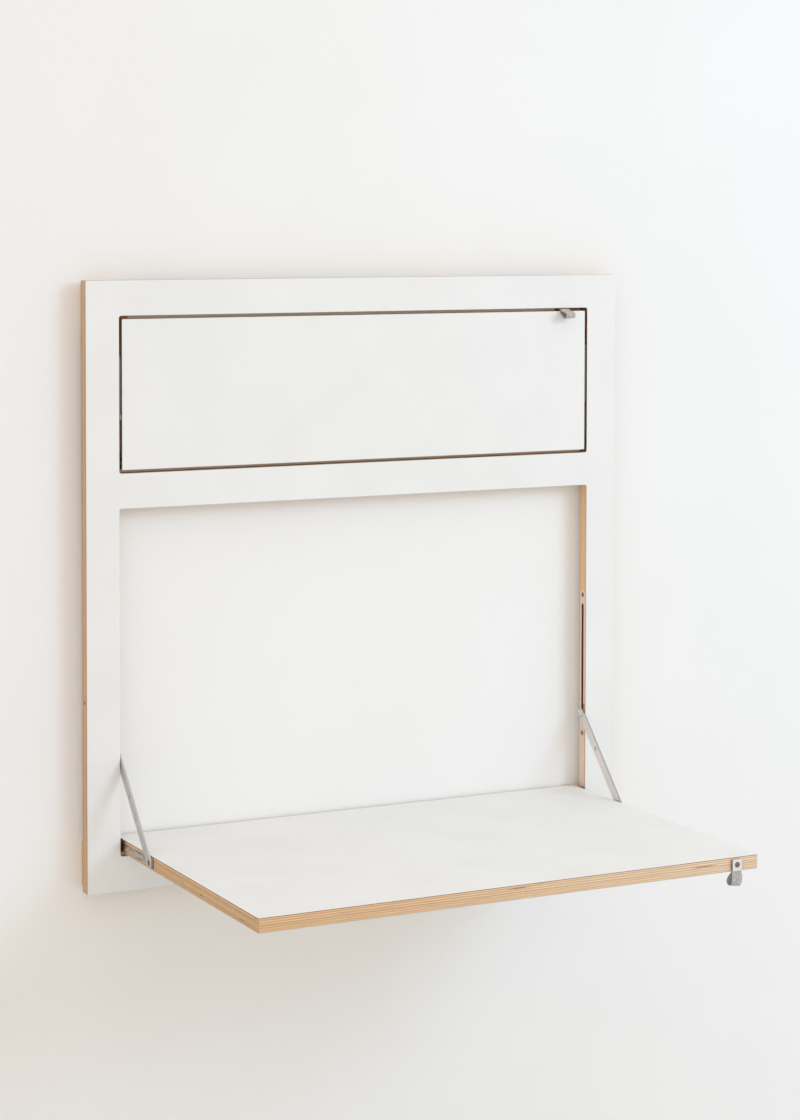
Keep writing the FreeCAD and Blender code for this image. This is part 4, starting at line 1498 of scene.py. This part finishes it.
@dataclass(frozen=True)
class PullStrap:
    """A felt strip folded in a loop and clamped to a panel's free edge by a plate and a screw.

    The loop's knots are distances past the panel's free edge and out of the board's middle.
    """

    fold: Fold
    loop: tuple[Range, ...]
    tilt: float
    x: float = 316.5
    width: float = 16.0
    thickness: float = 1.55
    layer: float = 1.299
    tail: float = 6.2
    root: float = 9.3
    plate_half_width: float = 7.0
    plate_n: Range = (-6.5, 8.3)
    plate_thickness: float = 0.8
    screw_n: float = 0.2
    drawn: Range = (0.05, 0.22)
    squeeze: float = 0.985
    nap: float = 0.26
    nap_grain: float = 1.6
    edge_round: float = 0.45
    cuts: tuple[float, ...] = (-0.86, -0.5, 0.0, 0.5, 0.86)
    free_length: float = 18.0
    swing: float = 0.4
    sag: float = 0.35
    pinch: float = 0.125
    drawn_from: float = 0.55
    plate_finish: Metal = SATIN

    def line(self) -> list[Vector]:
        """The strip's middle line in the panel's axes: up the board, round the loop and back down.

        Returns:
            The line's points.
        """
        inner, outer = self.layer / 2.0, 1.5 * self.layer
        knots = [(inner, -self.tail), (inner, 1.0), (inner, 6.0), (inner, 9.0), *self.loop,
                 (outer, 9.4), (outer, 6.0), (outer, 1.0), (outer, -self.tail)]
        return smooth_path([Vector((0.0, self.fold.reach + s, n)) for s, n in knots], 4)

    def build(self) -> None:
        """Makes the felt, the plate and the screw."""
        felt = self.make_felt()
        name, hinge = self.fold.name, self.fold.on_hinge()
        put(felt, hinge)
        settle(felt, f"{name}_felt_strap", name, self.felt(), [f"{name}_pull_strap"])

        face = self.fold.reach + 2.0 * self.layer
        low, high = self.plate_n
        plate = slab(((self.x - self.plate_half_width, self.x + self.plate_half_width),
                      (face, face + self.plate_thickness), (low, high)), 1.0, Axis.Y, 4)
        ease(plate, 0.2)
        settle(put(plate, hinge), f"{name}_clamp_plate", name, self.plate_finish,
               [f"{name}_strap_plate"])
        screw = Screw(head=Head.DOMED, head_radius=3.7, head_size=0.8)
        local = turned_to(self.x, face + self.plate_thickness, self.screw_n, 90.0, "Z", 33.0)
        settle(put(screw.make(), hinge @ local), f"{name}_clamp_screw", name, SCREW,
               [f"{name}_strap_screw"])

    def felt(self) -> WoolFelt:
        """Felt painted in shade where the plate grips it.

        Returns:
            The finish.
        """
        grip = self.fold.on_hinge() @ Vector((self.x, self.fold.reach + self.layer, 0.0))
        return WoolFelt(f"{self.fold.name}_wool_felt", "wool_felt",
                        shaded_spots=(Flaw(tuple(grip), (14.0, 10.5, 10.5), 0.75, 0.1),))

    def make_felt(self) -> Piece:
        """Draws the strip out edge by edge, then thickens, rounds and roughens it.

        Returns:
            The loop.
        """
        line = self.line()
        half = self.width / 2.0
        first, second = line[0], line[1]
        felt = start(bpy.ops.mesh.primitive_plane_add, size=1.0)
        with editing(felt, Pick.EDGE):
            bpy.ops.mesh.select_all(action="SELECT")
            bpy.ops.transform.resize(value=(self.width, 1.0, 1.0))
            bpy.ops.transform.translate(value=(self.x, -0.5, 0.0))
            choose("edges", lambda edge: all(vertex.co.y > -0.5 for vertex in edge.verts))
            bpy.ops.transform.translate(value=second)
            choose("edges", lambda edge: all(vertex.co.y < 0.5 for vertex in edge.verts))
            bpy.ops.transform.translate(value=first + Vector((0.0, 1.0, 0.0)))
            choose("edges", lambda edge: all((vertex.co - second).yz.length < 1e-3
                                             for vertex in edge.verts))
            for here, there in zip(line[1:], line[2:]):
                extrude(there - here)
            for share in self.cuts:
                bpy.ops.mesh.select_all(action="SELECT")
                bpy.ops.mesh.bisect(plane_co=(self.x + share * half, 0.0, 0.0),
                                    plane_no=(1.0, 0.0, 0.0))
            face_out()
        self.relax(felt)
        clamp = felt.vertex_groups.new(name="loop")
        for vertex in felt.data.vertices:
            free = min(max((vertex.co.z - self.root + 2.0) / 4.0, 0.0), 1.0)
            clamp.add([vertex.index], free, "REPLACE")
        finish_with(felt, "SOLIDIFY", thickness=self.thickness, offset=0.0, vertex_group="loop",
                    thickness_vertex_group=self.layer / self.thickness * self.squeeze,
                    use_even_offset=True)
        finish_with(felt, "BEVEL", width=self.edge_round, segments=2, limit_method="ANGLE",
                    angle_limit=math.radians(50.0))
        finish_with(felt, "SUBSURF", levels=2, render_levels=2)
        rough = bpy.data.textures.new(f"{self.fold.name}_felt_nap", "CLOUDS")
        rough.noise_scale = self.nap_grain
        finish_with(felt, "DISPLACE", texture=rough, strength=self.nap, mid_level=0.5,
                    vertex_group="loop")
        return smooth(felt, 180.0)

    def relax(self, felt: Piece) -> None:
        """Lets the loop give: pinched by the plate, wide below it, drawn in and tilted at its end.

        Args:
            felt: The strip, a single sheet bent in its loop.
        """
        half = self.width / 2.0
        for vertex in felt.data.vertices:
            free = min(max((vertex.co.z - self.root) / self.free_length, 0.0), 1.0)
            across = (vertex.co.x - self.x) / half
            vertex.co.y += self.swing * free * across
            vertex.co.z += free * (self.tilt * across - self.sag * across * across)
            wide = 1.0 - self.pinch * (1.0 - min(free / 0.5, 1.0)) ** 2
            drawn = self.drawn[0] if across < 0.0 else self.drawn[1]
            drawn *= max(free - self.drawn_from, 0.0) / (1.0 - self.drawn_from)
            vertex.co.x = self.x + half * across * (wide - drawn)


# ---- folding panels ------------------------------------------------------------------------------
@dataclass(frozen=True)
class Panel:
    """A folding panel: plywood with a skin on each face."""

    fold: Fold
    outer_node: str
    inner_node: str
    loop: tuple[Range, ...]
    tilt: float
    seed: float
    outer_core: tuple
    flaws_and_shade: tuple[Flaw, ...] = ()
    tint: tuple = (1.0, 0.965, 0.93, 1.0)
    far_light_tint: tuple | None = None

    def build(self) -> None:
        """Makes the skins, dresses the plywood and adds the stays and the strap."""
        fold, half = self.fold, BOARD.half_thickness
        spans_x = (-BOARD.half_panel, BOARD.half_panel)
        axis = Axis.Z if fold.angle > 45.0 else Axis.Y
        for node, local in ((self.outer_node, half), (self.inner_node, -half)):
            inner = local - math.copysign(BOARD.skin, local)
            spans_y = (-half if local > 0.0 else -fold.heel, fold.reach)
            skin = Skin((spans_x, spans_y, (min(local, inner), max(local, inner))), Axis.Z, local)
            face = (fold.on_hinge() @ Vector((0.0, 0.0, local)))[axis.value]
            core = self.outer_core if local > 0.0 else CORE
            finish = Laminate(f"{node}_finish", "white_laminate", axis, face, core=core)
            settle(put(skin.make(), fold.on_hinge()), node.replace("laminate", "skin"), fold.name,
                   finish, [node])
        start_z = min((fold.on_hinge() @ Vector((0.0, 0.0, side * (half - BOARD.skin))))[axis.value]
                      for side in SIDES)
        dress(f"{fold.name}_core", BirchPly(f"{fold.name}_plywood", "birch_plywood", axis, start_z,
                                            BOARD.core, seed=self.seed, flaws_and_shade=self.flaws_and_shade,
                                            rim=0.75, tint=self.tint, far_light_tint=self.far_light_tint,
                                            banding=(0.13, 0.21)))
        Stay(fold).build()
        # The flap's clamp plate takes the copy of the satin finish that is painted in shade.
        PullStrap(fold, self.loop, self.tilt,
                  plate_finish=SATIN if fold.padded else SHADED_SATIN).build()


def shade_at_both_sides(y: float, z: float, reach_y: float, reach_z: float, strength: float,
                  ragged: float) -> list[Flaw]:
    """The same patch of painted shade on both side edges of a panel."""
    return [Flaw((side * BOARD.half_panel, y, z), (3.0, reach_y, reach_z), strength, ragged)
            for side in SIDES]


DESK_FLAWS_AND_SHADE = (
    Flaw((-2.0, -458.5, -335.4), (17.0, 3.0, 0.75), 0.8),
    Flaw((268.0, -458.5, -338.6), (21.0, 3.0, 0.8), 0.75),
    Flaw((212.0, -458.5, -334.0), (14.0, 3.0, 0.35), 0.4),
    Flaw((28.0, -458.5, -333.2), (9.0, 3.0, 0.4), 0.4),
    Flaw((-350.0, -229.0, -341.8), (3.0, 2.2, 1.2), 0.8),
    Flaw((-350.0, -222.0, -341.3), (3.0, 1.2, 1.4), 0.5),
    Flaw((-350.0, -289.0, -344.0), (3.0, 2.6, 1.4)),
    Flaw((-350.0, -410.0, -345.2), (3.0, 10.0, 0.7), 0.8),
    Flaw((-350.0, -450.0, -333.6), (3.0, 6.0, 0.6), 0.6),
    # Painted shade on both side edges beside the hinges.
    *shade_at_both_sides(-20.0, -340.5, 26.0, 26.0, 0.85, 0.1),
    # A painted shadow of each strut on the side edge, just past its plate.
    *shade_at_both_sides(-132.6, -340.5, 3.6, 10.0, 0.8, 0.2),
)
DESK_LOOP = ((0.2, 10.4), (-2.2, 13.6), (-5.4, 17.6), (-8.0, 21.8), (-8.6, 25.0), (-6.6, 27.5),
             (-3.4, 28.1), (0.0, 27.0), (1.9, 24.2), (2.3, 20.0), (2.25, 14.5))
# Painted shade on the flap's side edges, in the gaps beside the frame.
FLAP_EDGE_SHADE = tuple(shade_at_both_sides(BOARD.middle, 251.0, 40.0, 200.0, 0.5, 0.05))
FLAP_LOOP = ((0.35, 10.2), (-2.4, 12.0), (-5.6, 15.6), (-7.9, 20.2), (-8.9, 24.4), (-7.9, 27.0),
             (-5.4, 28.1), (-3.1, 27.0), (-1.9, 23.8), (-1.2, 19.5), (-0.4, 14.8), (0.8, 11.6))


# ---- room, light and camera ----------------------------------------------------------------------
@dataclass(frozen=True)
class Room:
    """A plain pale wall and floor that show from the room's side only, so the back shows too."""

    half_width: float = 6.0
    height: float = 3.4
    depth: float = 9.0
    floor_z: float = -1.06
    near: float = 0.017
    wall: tuple = tone(240, 241, 239)
    floor: tuple = tone(226, 225, 222)
    glow: tuple = (0.12, 0.075, 0.04, 1.0)

    def build(self) -> None:
        """Makes the two planes, names them and paints them."""
        width = 2.0 * self.half_width
        wall = start(bpy.ops.mesh.primitive_plane_add, size=1.0)
        put(wall, Matrix.Translation((0.0, 0.0002, self.floor_z + self.height / 2.0))
            @ Matrix.Rotation(math.pi / 2.0, 4, "X")
            @ Matrix.Diagonal((width, self.height, 1.0, 1.0)))
        floor = start(bpy.ops.mesh.primitive_plane_add, size=1.0)
        put(floor, Matrix.Translation((0.0, -self.depth / 2.0, self.floor_z))
            @ Matrix.Diagonal((width, self.depth, 1.0, 1.0)))
        for piece, name, colour in ((wall, "wall", self.wall), (floor, "floor", self.floor)):
            piece.name = name
            piece.data.materials.append(self.paint(name + "_paint", colour))
            log.info("%s set up", name)

    def paint(self, name: str, colour: tuple) -> bpy.types.Material:
        """Matt paint, clear from behind, that light from the object's back nearby passes.

        Args:
            name: The material's name.
            colour: The paint's colour.

        Returns:
            The material.
        """
        made = bpy.data.materials.new(name)
        graph = Graph(made)
        place = graph.place()
        cloud = graph.ramp(graph.noise(place, 0.004, 2.0), 0.3, 0.7)
        lit = graph.mix(cloud, darker(colour, 0.985), colour)
        less = (*(1.0 - channel / white for channel, white in zip(self.glow[:3], colour)), 1.0)
        seen = graph.seen()
        diffuse = graph.node("BsdfDiffuse", {
            "Color": graph.mix(seen, lit, graph.mix(1.0, lit, less, "MULTIPLY")),
            "Normal": graph.bump(graph.noise(place, 0.35, 3.0), 0.05)})
        glow = graph.node("Emission", {"Color": self.glow, "Strength": seen})
        painted = graph.node("AddShader", {0: diffuse.outputs[0], 1: glow.outputs[0]})
        path = graph.node("LightPath").outputs
        close = graph.math("LESS_THAN", path["Ray Length"], self.near)
        close = graph.times(close, path["Is Shadow Ray"])
        close = graph.times(close, graph.math("LESS_THAN", path["Diffuse Depth"], 0.5))
        behind = graph.node("NewGeometry").outputs["Backfacing"]
        clear = graph.math("MAXIMUM", behind, close)
        shader = graph.node("MixShader", {0: clear, 1: painted.outputs[0],
                                          2: graph.node("BsdfTransparent").outputs[0]})
        graph.node("OutputMaterial", {"Surface": shader.outputs[0]})
        return made


@dataclass(frozen=True)
class Lamp:
    """A soft square lamp that looks at a point."""

    name: str
    place: tuple[float, float, float]
    size: float
    power: float
    colour: tuple[float, float, float] = (1.0, 1.0, 1.0)
    target: tuple[float, float, float] = (0.0, -0.1, -0.05)

    def build(self) -> None:
        """Hangs the lamp."""
        data = bpy.data.lights.new(self.name, "AREA")
        data.shape = "SQUARE"
        data.size = self.size
        data.energy = self.power
        data.color = self.colour
        lamp = bpy.data.objects.new(self.name, data)
        lamp.location = self.place
        look = Vector(self.target) - Vector(self.place)
        lamp.rotation_euler = look.to_track_quat("-Z", "Y").to_euler()
        lamp.visible_camera = False
        bpy.context.scene.collection.objects.link(lamp)
        log.info("%s hung", self.name)


@dataclass(frozen=True)
class Studio:
    """The lamps and the even light of the room."""

    air: tuple = (1.005, 0.905, 0.845, 1.0)
    shown: tuple = (0.9, 0.9, 0.9, 1.0)

    def build(self) -> None:
        """Hangs the lamps and sets the world and the view transform."""
        Lamp("key_lamp", (2.3, -2.9, 1.5), 1.5, 41.0, (0.58, 0.9, 1.18)).build()
        Lamp("back_lamp", (0.6, 3.2, -1.0), 1.6, 58.0).build()
        world = bpy.data.worlds.new("studio_air")
        bpy.context.scene.world = world
        graph = Graph(world)
        air = graph.node("Background", {"Color": graph.mix(graph.seen(), self.air, self.shown)})
        graph.node("OutputWorld", {"Surface": air.outputs[0]})
        bpy.context.scene.view_settings.view_transform = "Standard"


@dataclass(frozen=True)
class Viewpoint:
    """The camera: its place in metres, its turn in degrees, its lens and its shift."""

    place: tuple[float, float, float] = (-1.5921, -3.2183, 0.4877)
    yaw: float = 26.175
    pitch: float = 2.5
    roll: float = 0.039
    lens: float = 84.603
    shift: tuple[float, float] = (0.0472, -0.2075)

    def build(self) -> None:
        """Sets the camera up."""
        yaw, pitch, roll = (math.radians(value) for value in (self.yaw, self.pitch, self.roll))
        ahead = Vector((math.sin(yaw) * math.cos(pitch), math.cos(yaw) * math.cos(pitch),
                        -math.sin(pitch)))
        level = Vector((math.cos(yaw), -math.sin(yaw), 0.0))
        upright = level.cross(ahead)
        right = level * math.cos(roll) + upright * math.sin(roll)
        upward = upright * math.cos(roll) - level * math.sin(roll)
        data = bpy.data.cameras.new("camera")
        data.sensor_width = 36.0
        data.lens = self.lens
        data.shift_x, data.shift_y = self.shift
        camera = bpy.data.objects.new("camera", data)
        turn = Matrix((right, upward, -ahead)).transposed().to_4x4()
        camera.matrix_world = Matrix.Translation(self.place) @ turn
        bpy.context.scene.collection.objects.link(camera)
        bpy.context.scene.camera = camera
        log.info("camera placed")


def main() -> None:
    """Builds the whole object in order, then the room, the light and the camera."""
    logging.basicConfig(level=logging.INFO, format="%(name)s: %(message)s")
    Viewpoint().build()
    WallFrame().build()
    # The desk's ply carries painted light: warmer and darker on the left, paler and cooler to the
    # right.
    Panel(DESK, "desk_under_laminate", "desk_top_laminate", DESK_LOOP, tilt=0.8, seed=7.0,
          outer_core=PALE_CORE, flaws_and_shade=DESK_FLAWS_AND_SHADE, tint=(0.93, 0.856, 0.755, 1.0),
          far_light_tint=(1.025, 1.07, 1.17, 1.0)).build()
    Panel(FLAP, "flap_front_laminate", "flap_back_laminate", FLAP_LOOP, tilt=0.2, seed=5.0,
          outer_core=CORE, flaws_and_shade=FLAP_EDGE_SHADE).build()
    Room().build()
    Studio().build()


if __name__ == "__main__":
    main()
